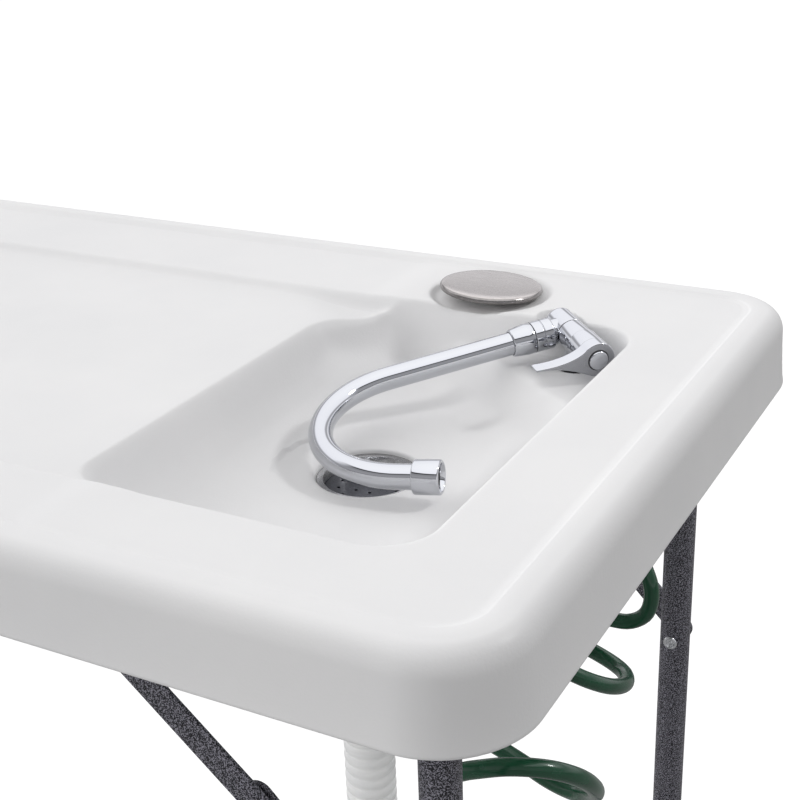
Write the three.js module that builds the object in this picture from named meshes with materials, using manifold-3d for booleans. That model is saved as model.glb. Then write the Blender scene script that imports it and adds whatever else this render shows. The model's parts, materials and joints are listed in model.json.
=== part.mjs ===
// Folding fish cleaning table: a moulded top with a work surface, a basin and a folding cold tap,
// on two leg frames with folding braces. Millimetres, +Z up, the floor at z = 0,
// the length along X with the basin at +X, the depth along Y with the front at -Y.
import * as THREE from 'three';
import { mergeVertices } from 'three/addons/utils/BufferGeometryUtils.js';
import Module from 'manifold-3d';

const wasm = await Module();
wasm.setup();

// Whole table
const tableLength = 1150;
const tableDepth = 600;
const tableHeight = 940;
const fitGap = 0.3;
const cutOverrun = 1;

// Moulded top
const skirtHeight = 60;
const slabThickness = 40;
const skirtWidth = 34;
const cornerRadius = 60;
const lipHeight = 6;
const lipDepth = 1.5;
const lipRound = 2;
const skirtDraft = 4;
const topEdgeRadius = 14;
const rollOffWidth = 33;
const rollOffDrop = 1;
const recessCornerRadius = 24;

// Work surface: ledges are measured in from the top's edges
const workDepth = 8;
const workLeftLedge = 70;
const workRightLedge = 275;
const workStep = 7;
const workCornerRadius = 26;

// Basin
const basinRightLedge = 95;
const basinWidth = 250;
const basinFrontLedge = 95;
const basinRearLedge = 128;
const basinDepth = 58;
const basinDish = 2;
const basinRimRound = 4;
const basinWallSlope = 12;
const basinLeftSlope = 18;
const basinFillet = 18;
const basinCornerRadius = 34;
const basinSpillRadius = 30;
const basinShell = 8;
const basinFootMargin = 8;
const basinFootFrontLedge = 96;
const basinFootRearLedge = 118;

// Tap shelf: distances from the basin's rear right corner
const shelfDrop = 28;
const shelfSlope = 12;
const shelfLength = 168;
const shelfReach = 114;
const shelfBowAlong = 92;
const shelfBowAcross = 35;

// Drain
const drainFromRight = 226;
const drainForward = 4.5;
const drainSeatRadius = 38;
const drainSeatDepth = 5;
const drainHoleRadius = 34.6;
const drainFlangeThickness = 1.5;
const drainDishRadius = 62;
const drainMouthRadius = 32.6;
const drainCupWall = 2.2;
const drainCupDepth = 22;
const drainTailRadius = 14.8;
const drainTailLength = 36;
const drainConeDepth = 10;
const drainNutRadius = 49;
const drainNutHeight = 8;
const drainNutSides = 8;
const strainerDrop = 11;
const strainerThickness = 1.6;
const strainerRings = 3;
const strainerHoleRadius = 3;
const strainerRingSpacing = 11;

// Drain hose
const hoseRadius = 20;
const hoseValley = 17.6;
const hoseBore = 16.4;
const hosePitch = 9.5;
const hoseRibs = 50;
const hoseDrift = -11;
const hoseDriftRun = 170;
const hoseCuff = 14;
const clampRadius = 22.4;
const clampHeight = 9;
const clampEarWidth = 11;
const clampEarReach = 8;

// Stopper and its pocket
const stopperFromRight = 238;
const stopperRearLedge = 85.4;
const stopperRadius = 43;
const stopperRise = 9.5;
const stopperSkirt = 5;
const stopperCrown = 2.5;
const stopperEdge = 3.5;
const sealRadius = 32;
const sealHeight = 6.3;
const sealLip = 2.5;
const pocketRadius = 48;
const pocketFlare = 6;
const pocketDepth = 5;
const notchHalfWidth = 15;
const notchFlare = 7;
const notchDrop = 9;

// Tap
const tapFromRight = 138.4;
const tapRearLedge = 146.9;
const tapYaw = -44;
const tapLean = 5;
const barrelHeight = 21.6;
const barrelRadius = 12;
const bodyEnd = 10.1;
const bodyStart = -10.1;
const flangeRadius = 13;
const flangeHeight = 3.5;
const columnRadius = 9;
const spotFaceMargin = 2;
const gasketHeight = 1.5;
const shankRadius = 9.8;
const shankBore = 4.5;
const shankDrop = 60;
const tapNutRadius = 17;
const tapNutHeight = 7;
const inletNutRadius = 13.5;
const inletNutHeight = 14;
const inletTail = 8.4;
const hubStart = -10.5;
const hubEnd = -33;
const domeHeight = 6;
const stemPlace = -21.1;
const stemDropAngle = 7.8;
const neckRadius = 10.2;
const neckReach = 13;
const collarRadius = 12.2;
const collarReach = 28.5;
const socketReach = 20;
const spoutNutReach = 46.5;
const spoutNutCylinder = 7;
const spoutNutTip = 10.4;
const pipeRadius = 9;
const pipeBore = 7.8;
const stemLength = 146.6;
const bendRadius = 70.7;
const bendAngle = 148.1;
const bendTail = 20.8;
const nozzleRadius = 12.2;
const nozzleLength = 19;
const nozzleGrip = 7;
const nozzleOutlet = 9.8;
const nozzleLip = 1;
const leverHubRadius = 13.6;
const leverBarrelRadius = 13.2;
const leverStart = 10.5;
const leverBarrel = 27.9;
const leverWidth = 11;
const leverArcStartAngle = -110;
const leverArcEndAngle = 135;
const leverCapRadius = 7.5;
const leverCapTip = 5.2;
const leverCapHeight = 2.4;
const spindleRadius = 5;
const clearBehindTap = 2.5;

// The lever's blade from its hub out to the tip and back, seen along the barrel from its cap:
// each row is the sideways place and the height over the barrel's middle.
const leverBladeTop = [
  [-14.6, 4.6],
  [-27, -0.8],
  [-50, -0.7],
];
const leverBladeUnder = [
  [-49.5, -2.7],
  [-24, -1.6],
  [-12.2, -10.1],
  [-4.65, -12.78],
];

// Leg frames
const legTubeRadius = 12.7;
const legTubeWall = 1.4;
const legBendRadius = 48;
const legInset = 70;
const rightPivotDrop = 56;
const frameStackStep = 28;
const rightLegLedge = 77;
const leftLegLedge = 82;
const crossbarHeight = 250;
const crossbarRadius = 9.5;
const footRadius = 14.6;
const footHeight = 34;
const footSole = 5;

// Saddles that carry the frames' top tubes
const saddleFromLeg = 83;
const saddleWidth = 32;
const saddleThickness = 2.5;
const saddleFoot = 15;
const saddleHole = 2.6;

// Braces
const braceSpan = 255;
const braceTopRise = 3;
const braceLegDrop = 239;
const upperLinkLength = 184;
const upperLinkAngle = 41.2;
const linkWidth = 21;
const linkThickness = 3;
const linkGap = 2.2;
const rivetRadius = 3.2;
const rivetHeadRadius = 6;
const rivetHeadHeight = 1.6;
const rivetTailHeight = 2.4;
const bracketThickness = 2.5;
const bracketWidth = 36;
const bracketFlange = 13;
const bracketDrop = 12;

// Curly supply hose
const supplyRadius = 6;
const supplySides = 6;
const supplyLoopSteps = 24;
const supplyEndLedge = 150;
const supplyEndFromRight = 157;
const supplyEndDrop = 130;
const supplyEndStraight = 14;
const couplingRadius = 12.5;
const couplingNeckRadius = 9;
const couplingBore = 8.8;
const couplingLength = 34;
const couplingFerrule = 16;
const clipThickness = 2;
const clipWidth = 14;
const clipFoot = 16;

// The supply hose hangs from the tap's inlet in loose curls. A row for each half turn:
// how far the middle of the curl lies in from the top's right end and under its surface.
// The shares say how far along the way from the tap to the coupling each curl hangs.
const curlMiddles = [
  [115, 164],
  [102, 204],
  [111, 236],
  [116, 248],
  [125, 238],
  [149, 234],
  [99, 243],
  [75, 238],
  [85, 231],
];
const curlPlaceShares = [0.01, 0.01, 0.116, 0.225, 0.334, 0.466, 0.63, 0.736, 0.822];
// The curl's reach to its right-hand tip, and its reach just after that tip.
const curlTips = [
  [20, -8, 0],
  [37, -15, -4],
  [44, -5, -8],
  [50, 5, -12],
  [44, 5, -9],
  [34, 5, -6],
  [40, 5, -4],
  [44, 4, -1],
  [45, 4, -1],
];
const curlTurnsAfter = [
  [0, 2, -24],
  [2, 2, -22],
  [8, -20, 4],
  [12, -41, 24],
  [9, -36, 28],
  [6, -34, 32],
  [4, -34, 38],
  [4, -35, 40],
  [4, -35, 40],
];

const colours = {
  plastic: 0xe4e4e6,
  legPaint: 0x34363b,
  steel: 0xb9bcc0,
  chrome: 0xd7dadd,
  white: 0xeef0f0,
  rubber: 0x1c1c1e,
  green: 0x1f4d34,
  brass: 0xb08d4a,
};

// Sizes that follow from the ones above
const halfLength = tableLength / 2;
const halfDepth = tableDepth / 2;
const topZ = tableHeight;
const skirtZ = topZ - skirtHeight;
const slabZ = topZ - slabThickness;
const basinFloorZ = topZ - basinDepth;
const basinFootZ = basinFloorZ - basinDish - basinShell;
const shelfZ = topZ - shelfDrop;
const basinRight = halfLength - basinRightLedge;
const basinLeft = basinRight - basinWidth;
const basinFront = basinFrontLedge - halfDepth;
const basinRear = halfDepth - basinRearLedge;
const drainX = halfLength - drainFromRight;
const drainY = (basinFront + basinRear) / 2 - drainForward;
const stopperX = halfLength - stopperFromRight;
const stopperY = halfDepth - stopperRearLedge;
const tapX = halfLength - tapFromRight;
const tapY = halfDepth - tapRearLedge;
const supplyEndY = supplyEndLedge - halfDepth;
const degree = Math.PI / 180;

const table = new THREE.Group();

function add(parent, name, geometry, colour, roughness, metalness) {
  const material = new THREE.MeshStandardMaterial({ color: colour, roughness, metalness });
  const mesh = new THREE.Mesh(geometry, material);
  mesh.name = name;
  parent.add(mesh);
  return mesh;
}

// Booleans
function solid(geometry) {
  const bare = geometry.index ? geometry.clone() : geometry;
  bare.deleteAttribute('normal');
  bare.deleteAttribute('uv');
  const merged = mergeVertices(bare, 1e-4);
  const mesh = new wasm.Mesh({
    numProp: 3,
    vertProperties: new Float32Array(merged.attributes.position.array),
    triVerts: new Uint32Array(merged.index.array),
  });
  return new wasm.Manifold(mesh);
}

function geometryOf(body) {
  const mesh = body.getMesh();
  const geometry = new THREE.BufferGeometry();
  geometry.setAttribute('position', new THREE.BufferAttribute(new Float32Array(mesh.vertProperties), 3));
  geometry.setIndex(new THREE.BufferAttribute(new Uint32Array(mesh.triVerts), 1));
  return geometry;
}

function cutAll(base, cutters) {
  return geometryOf(cutters.reduce((body, cutter) => body.subtract(solid(cutter)), solid(base)));
}

function joinAll(pieces) {
  return geometryOf(pieces.map(solid).reduce((body, piece) => body.add(piece)));
}

// A closed skin over rings of equal point counts, capped at both ends.
function loft(rings, closed = false) {
  const count = rings[0].length;
  const positions = rings.flat().flatMap((p) => [p.x, p.y, p.z]);
  const index = [];
  const last = closed ? rings.length : rings.length - 1;
  for (let i = 0; i < last; i += 1) {
    const a = i * count;
    const b = ((i + 1) % rings.length) * count;
    for (let j = 0; j < count; j += 1) {
      const k = (j + 1) % count;
      index.push(a + j, a + k, b + k, a + j, b + k, b + j);
    }
  }
  if (!closed) {
    const top = (rings.length - 1) * count;
    for (let j = 1; j < count - 1; j += 1) {
      index.push(0, j + 1, j);
      index.push(top, top + j, top + j + 1);
    }
  }
  const geometry = new THREE.BufferGeometry();
  geometry.setAttribute('position', new THREE.Float32BufferAttribute(positions, 3));
  geometry.setIndex(index);
  return geometry;
}

// A rectangle with its own radius at each corner: front left, front right, rear right, rear left.
function roundedRing(x0, x1, y0, y1, radii, z, steps = 6) {
  const centres = [
    [x0 + radii[0], y0 + radii[0], Math.PI],
    [x1 - radii[1], y0 + radii[1], Math.PI * 1.5],
    [x1 - radii[2], y1 - radii[2], 0],
    [x0 + radii[3], y1 - radii[3], Math.PI / 2],
  ];
  const points = [];
  centres.forEach(([x, y, start], corner) => {
    for (let i = 0; i <= steps; i += 1) {
      const a = start + (i / steps) * (Math.PI / 2);
      points.push(new THREE.Vector3(x + radii[corner] * Math.cos(a), y + radii[corner] * Math.sin(a), z));
    }
  });
  return points;
}

function cylinder(radius, z0, z1, sides = 24) {
  const geometry = new THREE.CylinderGeometry(radius, radius, z1 - z0, sides);
  geometry.rotateX(Math.PI / 2);
  geometry.translate(0, 0, (z0 + z1) / 2);
  return geometry;
}

// A cylinder along Y between two planes.
function crossCylinder(radius, x, y0, y1, z, sides = 16) {
  const geometry = new THREE.CylinderGeometry(radius, radius, Math.abs(y1 - y0), sides);
  geometry.translate(x, (y0 + y1) / 2, z);
  return geometry;
}

function box(x0, x1, y0, y1, z0, z1) {
  const geometry = new THREE.BoxGeometry(x1 - x0, y1 - y0, z1 - z0);
  geometry.translate((x0 + x1) / 2, (y0 + y1) / 2, (z0 + z1) / 2);
  return geometry;
}

// A turned piece: the profile is a list of radius and height, from the axis or closed on itself.
function turned(profile, sides = 24) {
  const points = profile.map(([r, z]) => new THREE.Vector2(r, z));
  if (THREE.ShapeUtils.area(points) < 0) points.reverse();
  const geometry = new THREE.LatheGeometry(points, sides);
  geometry.rotateX(Math.PI / 2);
  return geometry;
}

function turnedRing(profile, sides = 24) {
  return turned([...profile, profile[0]], sides);
}

// A polygon in the XZ plane, drawn out along Y.
function plateAcross(shape, y0, y1, curveSteps = 7) {
  const options = { depth: Math.abs(y1 - y0), bevelEnabled: false, curveSegments: curveSteps };
  const geometry = new THREE.ExtrudeGeometry(shape, options);
  geometry.rotateX(Math.PI / 2);
  geometry.translate(0, Math.max(y0, y1), 0);
  return geometry;
}

// The moulded top
function topShell() {
  const ring = (inset, z) => roundedRing(
    inset - halfLength,
    halfLength - inset,
    inset - halfDepth,
    halfDepth - inset,
    Array(4).fill(cornerRadius - inset),
    z,
  );
  const rings = [
    ring(lipRound, skirtZ),
    ring(0, skirtZ + lipRound),
    ring(0, skirtZ + lipHeight - lipRound),
    ring(lipDepth, skirtZ + lipHeight),
  ];
  const edgeZ = topZ - rollOffDrop - topEdgeRadius;
  const edgeSteps = 5;
  for (let i = 0; i <= edgeSteps; i += 1) {
    const a = (i / edgeSteps) * (Math.PI / 2);
    const inset = skirtDraft + topEdgeRadius * (1 - Math.cos(a));
    rings.push(ring(inset, edgeZ + topEdgeRadius * Math.sin(a)));
  }
  rings.push(ring(rollOffWidth, topZ));
  return loft(rings);
}

function undersideRecess() {
  const ring = (inset, z) => roundedRing(
    inset - halfLength,
    halfLength - inset,
    inset - halfDepth,
    halfDepth - inset,
    Array(4).fill(recessCornerRadius),
    z,
  );
  return loft([
    ring(skirtWidth - lipRound, skirtZ - cutOverrun),
    ring(skirtWidth, skirtZ + lipRound),
    ring(skirtWidth + skirtDraft, slabZ),
  ]);
}

function basinFoot() {
  const ring = (inset, z) => roundedRing(
    basinLeft - basinFootMargin + inset,
    basinRight + basinFootMargin - inset,
    basinFootFrontLedge - halfDepth + inset,
    halfDepth - basinFootRearLedge - inset,
    Array(4).fill(basinCornerRadius),
    z,
  );
  return loft([
    ring(skirtDraft + lipRound, basinFootZ),
    ring(skirtDraft, basinFootZ + lipRound),
    ring(0, slabZ + cutOverrun),
  ]);
}

function workRecess() {
  const ring = (inset, z) => roundedRing(
    workLeftLedge - halfLength + inset,
    halfLength - workRightLedge - inset,
    basinFront + inset,
    basinRear - inset,
    Array(4).fill(workCornerRadius),
    z,
  );
  const z = topZ - workDepth;
  return loft([
    ring(workStep, z),
    ring(workStep / 2, z + workDepth / 5),
    ring(0, topZ - workDepth / 5),
    ring(-basinRimRound / 2, topZ),
    ring(-basinRimRound, topZ + cutOverrun),
  ]);
}

function basinRing(inset, leftInset, z) {
  const corner = Math.max(basinCornerRadius - inset, basinFillet);
  const radii = [corner, corner, corner, basinSpillRadius];
  return roundedRing(
    basinLeft + leftInset,
    basinRight - inset,
    basinFront + inset,
    basinRear - inset,
    radii,
    z,
  );
}

function drainRing(radius, z) {
  return roundedRing(
    drainX - radius,
    drainX + radius,
    drainY - radius,
    drainY + radius,
    Array(4).fill(radius),
    z,
  );
}

function basinHollow() {
  const wallZ = basinFloorZ + basinFillet;
  const rings = [
    drainRing(drainHoleRadius / 2, basinFloorZ - basinDish),
    drainRing(drainDishRadius - basinRimRound, basinFloorZ - basinDish),
    drainRing(drainDishRadius, basinFloorZ - basinDish / 2),
  ];
  const leftReachShare = 1.7;
  const filletShares = [[1, 0], [0.45, 0.12], [0.15, 0.42], [0, 1]];
  filletShares.forEach(([reachShare, riseShare]) => {
    const inset = basinWallSlope + basinFillet * reachShare;
    const leftInset = basinLeftSlope + basinFillet * leftReachShare * reachShare;
    rings.push(basinRing(inset, leftInset, basinFloorZ + basinFillet * riseShare));
  });
  const workZ = topZ - workDepth;
  const leftTop = basinLeftSlope / 5;
  rings.push(basinRing(basinWallSlope / 2, leftTop * 2, (wallZ + workZ) / 2));
  rings.push(basinRing(basinWallSlope / 4, leftTop, workZ - basinRimRound));
  rings.push(basinRing(0, 0, workZ));
  rings.push(basinRing(-basinRimRound / 4, 0, topZ - basinRimRound / 2));
  rings.push(basinRing(-basinRimRound, 0, topZ + basinRimRound / 4));
  return loft(rings);
}

// The shelf left standing in the basin's corner, with a bowed front edge and a sloped face.
function tapShelf() {
  const outline = (grow) => {
    const edge = new THREE.QuadraticBezierCurve(
      new THREE.Vector2(basinRight - shelfLength - grow, basinRear + grow),
      new THREE.Vector2(basinRight - shelfBowAlong + grow / 2, basinRear - shelfBowAcross - grow / 2),
      new THREE.Vector2(basinRight + grow, basinRear - shelfReach - grow),
    ).getPoints(12);
    const corner = new THREE.Vector2(basinRight + shelfSlope * 2, basinRear + shelfSlope * 2);
    const beforeCorner = new THREE.Vector2(corner.x, edge[edge.length - 1].y);
    const afterCorner = new THREE.Vector2(edge[0].x, corner.y);
    return [...edge, beforeCorner, corner, afterCorner];
  };
  const ring = (grow, z) => outline(grow).map((p) => new THREE.Vector3(p.x, p.y, z));
  return loft([
    ring(shelfSlope, basinFootZ + cutOverrun),
    ring(basinRimRound / 4, shelfZ - basinRimRound / 2),
    ring(-basinRimRound / 4, shelfZ),
  ]);
}

function stopperPocket() {
  const z = topZ - pocketDepth;
  const geometry = turned([
    [0, z],
    [pocketRadius - pocketFlare / 2, z],
    [pocketRadius, z + pocketDepth / 3],
    [pocketRadius + pocketFlare, topZ],
    [pocketRadius + pocketFlare, topZ + cutOverrun],
    [0, topZ + cutOverrun],
  ], 32);
  geometry.translate(stopperX, stopperY, 0);
  return geometry;
}

function fingerNotch() {
  const x = stopperX;
  const ring = (flare, z) => roundedRing(
    x - notchHalfWidth - flare,
    x + notchHalfWidth + flare,
    basinRear - notchHalfWidth * 2,
    stopperY - stopperRadius / 2,
    Array(4).fill(notchHalfWidth / 2),
    z,
    3,
  );
  return loft([
    ring(0, topZ - notchDrop),
    ring(notchFlare / 3, topZ - notchDrop + notchFlare / 3),
    ring(notchFlare, topZ - basinRimRound / 4),
    ring(notchFlare + basinRimRound / 2, topZ + cutOverrun),
  ]);
}

// Turns a piece from the tap's own frame into the table's.
function placeTap(object) {
  object.rotation.order = 'ZYX';
  object.rotation.z = tapYaw * degree;
  object.rotation.y = tapLean * degree;
  object.position.set(tapX, tapY, shelfZ);
}

function tapCuts() {
  const holder = new THREE.Group();
  placeTap(holder);
  holder.updateMatrixWorld();
  const shank = cylinder(shankRadius + fitGap, -shankDrop, basinRimRound, 24);
  const spotFace = cylinder(flangeRadius + spotFaceMargin, -gasketHeight, barrelHeight, 32);
  const footFace = cylinder(tapNutRadius + basinRimRound, -shankDrop, shelfSeatDrop(), 24);
  const behind = new THREE.CylinderGeometry(
    barrelRadius + clearBehindTap,
    barrelRadius + clearBehindTap,
    domeHeight + clearBehindTap - hubEnd,
    24,
  );
  behind.rotateZ(Math.PI / 2);
  behind.translate((hubEnd - domeHeight - clearBehindTap) / 2, 0, barrelHeight);
  return [shank, spotFace, footFace, behind].map((cutter) => cutter.applyMatrix4(holder.matrixWorld));
}

// How far under the shelf the tap's locknut finds its flat seat.
function shelfSeatDrop() {
  return basinFootZ + lipRound - shelfZ;
}

function tableTop() {
  const drainHole = cylinder(drainHoleRadius, basinFootZ - cutOverrun, topZ, 32);
  drainHole.translate(drainX, drainY, 0);
  const flangeSeat = cylinder(drainSeatRadius, basinFloorZ - basinDish - drainSeatDepth, topZ, 32);
  flangeSeat.translate(drainX, drainY, 0);
  const hollow = solid(basinHollow()).subtract(solid(tapShelf()));
  const shell = solid(topShell()).subtract(solid(undersideRecess())).add(solid(basinFoot()));
  const cutters = [workRecess(), stopperPocket(), fingerNotch(), drainHole, flangeSeat, ...tapCuts()];
  const body = cutters.reduce((rest, cutter) => rest.subtract(solid(cutter)), shell.subtract(hollow));
  add(table, 'tabletop', geometryOf(body), colours.plastic, 0.45, 0);
}

// Drain
function drain() {
  const seatZ = basinFloorZ - basinDish - drainSeatDepth + fitGap;
  const flangeTop = seatZ + drainFlangeThickness;
  const flangeRim = drainSeatRadius - fitGap;
  const nutZ = basinFootZ - fitGap;
  const cupZ = seatZ - drainCupDepth;
  const coneZ = cupZ - drainConeDepth;
  const tailZ = coneZ - drainTailLength;
  const outer = drainHoleRadius - fitGap;
  const cup = turnedRing([
    [drainMouthRadius, flangeTop],
    [flangeRim - fitGap, flangeTop],
    [flangeRim, seatZ + drainFlangeThickness / 2],
    [flangeRim, seatZ],
    [outer, seatZ],
    [outer, cupZ],
    [drainTailRadius, coneZ],
    [drainTailRadius, tailZ],
    [drainTailRadius - drainCupWall, tailZ],
    [drainTailRadius - drainCupWall, coneZ + drainCupWall],
    [drainMouthRadius, cupZ + drainCupWall],
  ], 32);
  cup.translate(drainX, drainY, 0);
  add(table, 'drain_cup', cup, colours.steel, 0.35, 0.9);
  strainer(basinFloorZ - basinDish - strainerDrop);

  const nut = cutAll(cylinder(drainNutRadius, nutZ - drainNutHeight, nutZ, drainNutSides), [
    cylinder(drainHoleRadius, nutZ - drainNutHeight - cutOverrun, nutZ + cutOverrun, 32),
  ]);
  nut.translate(drainX, drainY, 0);
  add(table, 'drain_locknut', nut, colours.white, 0.55, 0);
  return coneZ;
}

// A flat strainer inside the cup, with rings of small holes.
function strainer(topFace) {
  const z0 = topFace - strainerThickness;
  const disc = cylinder(drainMouthRadius - fitGap, z0, topFace, 32);
  const holes = [];
  for (let ring = 0; ring < strainerRings; ring += 1) {
    const count = Math.max(ring * 6, 1);
    const reach = ring * strainerRingSpacing;
    for (let i = 0; i < count; i += 1) {
      const a = (i / count) * Math.PI * 2;
      const hole = cylinder(strainerHoleRadius, z0 - cutOverrun, topFace + cutOverrun, 6);
      holes.push(hole.translate(reach * Math.cos(a), reach * Math.sin(a), 0));
    }
  }
  const plate = cutAll(disc, holes);
  plate.translate(drainX, drainY, 0);
  add(table, 'drain_strainer', plate, colours.steel, 0.35, 0.9);
}

// The ribbed hose: two outer rings a rib, and a bore that runs all the way.
function ribbedHose(topEnd) {
  const sides = 8;
  const bottomEnd = topEnd - hoseCuff * 2 - hoseRibs * hosePitch;
  // Below its straight cuff the hose leans a little as it hangs.
  const leanAt = (z) => hoseDrift * THREE.MathUtils.smoothstep(topEnd - hoseCuff * 2 - z, 0, hoseDriftRun);
  const circle = (radius, z) => Array.from({ length: sides }, (unused, i) => {
    const a = (i / sides) * Math.PI * 2;
    return new THREE.Vector3(drainX + leanAt(z) + radius * Math.cos(a), drainY + radius * Math.sin(a), z);
  });
  const rings = [circle(hoseValley, bottomEnd), circle(hoseValley, bottomEnd + hoseCuff)];
  const crestShare = 0.5;
  for (let i = 0; i < hoseRibs; i += 1) {
    const z = bottomEnd + hoseCuff + i * hosePitch;
    rings.push(circle(hoseRadius, z + hosePitch * crestShare));
    rings.push(circle(hoseValley, z + hosePitch));
  }
  rings.push(circle(hoseValley, topEnd));
  const boreStep = hosePitch * 5;
  for (let z = topEnd; z > bottomEnd; z -= boreStep) rings.push(circle(hoseBore, z));
  rings.push(circle(hoseBore, bottomEnd));
  add(table, 'drain_hose', loft(rings, true), colours.white, 0.45, 0);
  return bottomEnd;
}

function hoseClamp(topEnd) {
  const z1 = topEnd - hoseCuff / 5;
  const z0 = z1 - clampHeight;
  const ear = box(hoseValley, clampRadius + clampEarReach, -clampEarWidth / 2, clampEarWidth / 2, z0, z1);
  const band = joinAll([cylinder(clampRadius, z0, z1, 24), ear]);
  const clamp = cutAll(band, [cylinder(hoseValley + fitGap, z0 - cutOverrun, z1 + cutOverrun, 24)]);
  clamp.translate(drainX, drainY, 0);
  add(table, 'hose_clamp', clamp, colours.steel, 0.35, 0.9);
}

// Stopper, lying in its pocket
function stopper() {
  const group = new THREE.Group();
  group.position.set(stopperX, stopperY, topZ - pocketDepth);
  const z0 = sealHeight + fitGap;
  const z1 = pocketDepth + stopperRise;
  const crown = z1 - stopperCrown;
  const cap = turned([
    [0, z0],
    [sealRadius, z0],
    [stopperRadius - stopperEdge, crown - stopperSkirt],
    [stopperRadius - stopperEdge / 3, crown - stopperSkirt + stopperEdge / 3],
    [stopperRadius, crown - stopperSkirt / 2],
    [stopperRadius - stopperEdge / 3, crown - stopperEdge / 3],
    [stopperRadius - stopperEdge, crown],
    [stopperRadius / 2, z1 - stopperCrown / 4],
    [0, z1],
  ], 40);
  add(group, 'stopper_cap', cap, colours.steel, 0.35, 0.95);
  const seal = turned([
    [0, fitGap],
    [sealRadius - sealLip, fitGap],
    [sealRadius + sealLip, sealHeight / 2],
    [sealRadius, sealHeight],
    [0, sealHeight],
  ], 32);
  add(group, 'stopper_seal', seal, colours.rubber, 0.8, 0);
  table.add(group);
}

// Tap
function alongX(geometry) {
  geometry.rotateY(Math.PI / 2);
  geometry.translate(0, 0, barrelHeight);
  return geometry;
}

function tapBody(tap) {
  const barrel = alongX(cylinder(barrelRadius, bodyStart, bodyEnd, 24));
  const spindle = alongX(cylinder(spindleRadius, hubStart - domeHeight, leverStart + leverBarrel, 16));
  const column = turned([
    [0, fitGap],
    [flangeRadius, fitGap],
    [flangeRadius, flangeHeight - basinRimRound / 4],
    [flangeRadius - basinRimRound / 4, flangeHeight],
    [columnRadius, flangeHeight + flangeHeight / 2],
    [columnRadius, barrelHeight],
    [0, barrelHeight],
  ], 28);
  const shank = cylinder(shankRadius, -shankDrop, flangeHeight, 20);
  const joined = joinAll([barrel, spindle, column, shank]);
  const bore = cylinder(shankBore, -shankDrop - cutOverrun, barrelHeight - spindleRadius, 12);
  add(tap, 'tap_body', cutAll(joined, [bore]), colours.chrome, 0.12, 1);
}

function tapSeatPieces(tap) {
  const gasket = turnedRing([
    [shankRadius + fitGap, 0],
    [flangeRadius + fitGap, 0],
    [flangeRadius + fitGap, -gasketHeight + fitGap],
    [shankRadius + fitGap, -gasketHeight + fitGap],
  ], 28);
  add(tap, 'tap_gasket', gasket, colours.rubber, 0.8, 0);
  const nutTop = shelfSeatDrop() - fitGap;
  const locknut = cutAll(cylinder(tapNutRadius, nutTop - tapNutHeight, nutTop, 6), [
    cylinder(shankRadius + fitGap, nutTop - tapNutHeight - cutOverrun, nutTop + cutOverrun, 20),
  ]);
  add(tap, 'tap_locknut', locknut, colours.brass, 0.4, 0.9);
}

// The hub's closed end: a quarter round from the barrel's side to its axis.
function domeProfile(start) {
  const steps = 4;
  return Array.from({ length: steps + 1 }, (unused, i) => {
    const a = (i / steps) * (Math.PI / 2);
    const radius = i === steps ? 0 : barrelRadius * Math.cos(a);
    return [radius, start + domeHeight * Math.sin(a)];
  });
}

function spoutHub(tap) {
  const holder = new THREE.Group();
  holder.position.set(stemPlace, 0, barrelHeight);
  holder.rotation.x = Math.PI / 2 + stemDropAngle * degree;
  holder.updateMatrix();
  const hubLength = hubStart - hubEnd;
  const dome = turned([[0, 0], [barrelRadius, 0], ...domeProfile(hubLength)], 24);
  dome.rotateY(-Math.PI / 2);
  dome.translate(hubStart, 0, barrelHeight);
  const neck = cylinder(neckRadius, 0, collarReach - fitGap, 24).applyMatrix4(holder.matrix);
  const collar = cylinder(collarRadius, neckReach, collarReach, 24).applyMatrix4(holder.matrix);
  const socketEnd = collarReach + cutOverrun;
  const socket = cylinder(pipeRadius + fitGap, socketReach, socketEnd, 20).applyMatrix4(holder.matrix);
  const spindleEnd = hubStart - domeHeight - fitGap;
  const spindleHole = alongX(cylinder(spindleRadius + fitGap, spindleEnd, hubStart + cutOverrun, 20));
  const body = joinAll([dome, neck, collar]);
  add(tap, 'spout_hub', cutAll(body, [socket, spindleHole]), colours.chrome, 0.12, 1);

  const nut = turnedRing([
    [pipeRadius + fitGap, collarReach + fitGap],
    [collarRadius, collarReach + fitGap],
    [collarRadius, collarReach + spoutNutCylinder],
    [spoutNutTip, spoutNutReach],
    [pipeRadius + fitGap, spoutNutReach],
  ], 24);
  nut.applyMatrix4(holder.matrix);
  add(tap, 'spout_nut', nut, colours.chrome, 0.14, 1);
  return holder;
}

// The bent pipe's centreline, in a frame whose Z is the stem and whose bend turns towards +X.
function spoutPath() {
  const path = new THREE.CurvePath();
  const start = new THREE.Vector3(0, 0, socketReach + fitGap);
  const turn = new THREE.Vector3(0, 0, stemLength);
  path.add(new THREE.LineCurve3(start, turn));
  const bendPoint = (a) => new THREE.Vector3(
    bendRadius * (1 - Math.cos(a)),
    0,
    stemLength + bendRadius * Math.sin(a),
  );
  const angle = bendAngle * degree;
  const arc = new THREE.Curve();
  arc.getPoint = (t) => bendPoint(t * angle);
  path.add(arc);
  const out = new THREE.Vector3(Math.sin(angle), 0, Math.cos(angle));
  const bendEnd = bendPoint(angle);
  path.add(new THREE.LineCurve3(bendEnd, bendEnd.clone().addScaledVector(out, bendTail)));
  return { path, bendEnd, out };
}

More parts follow.
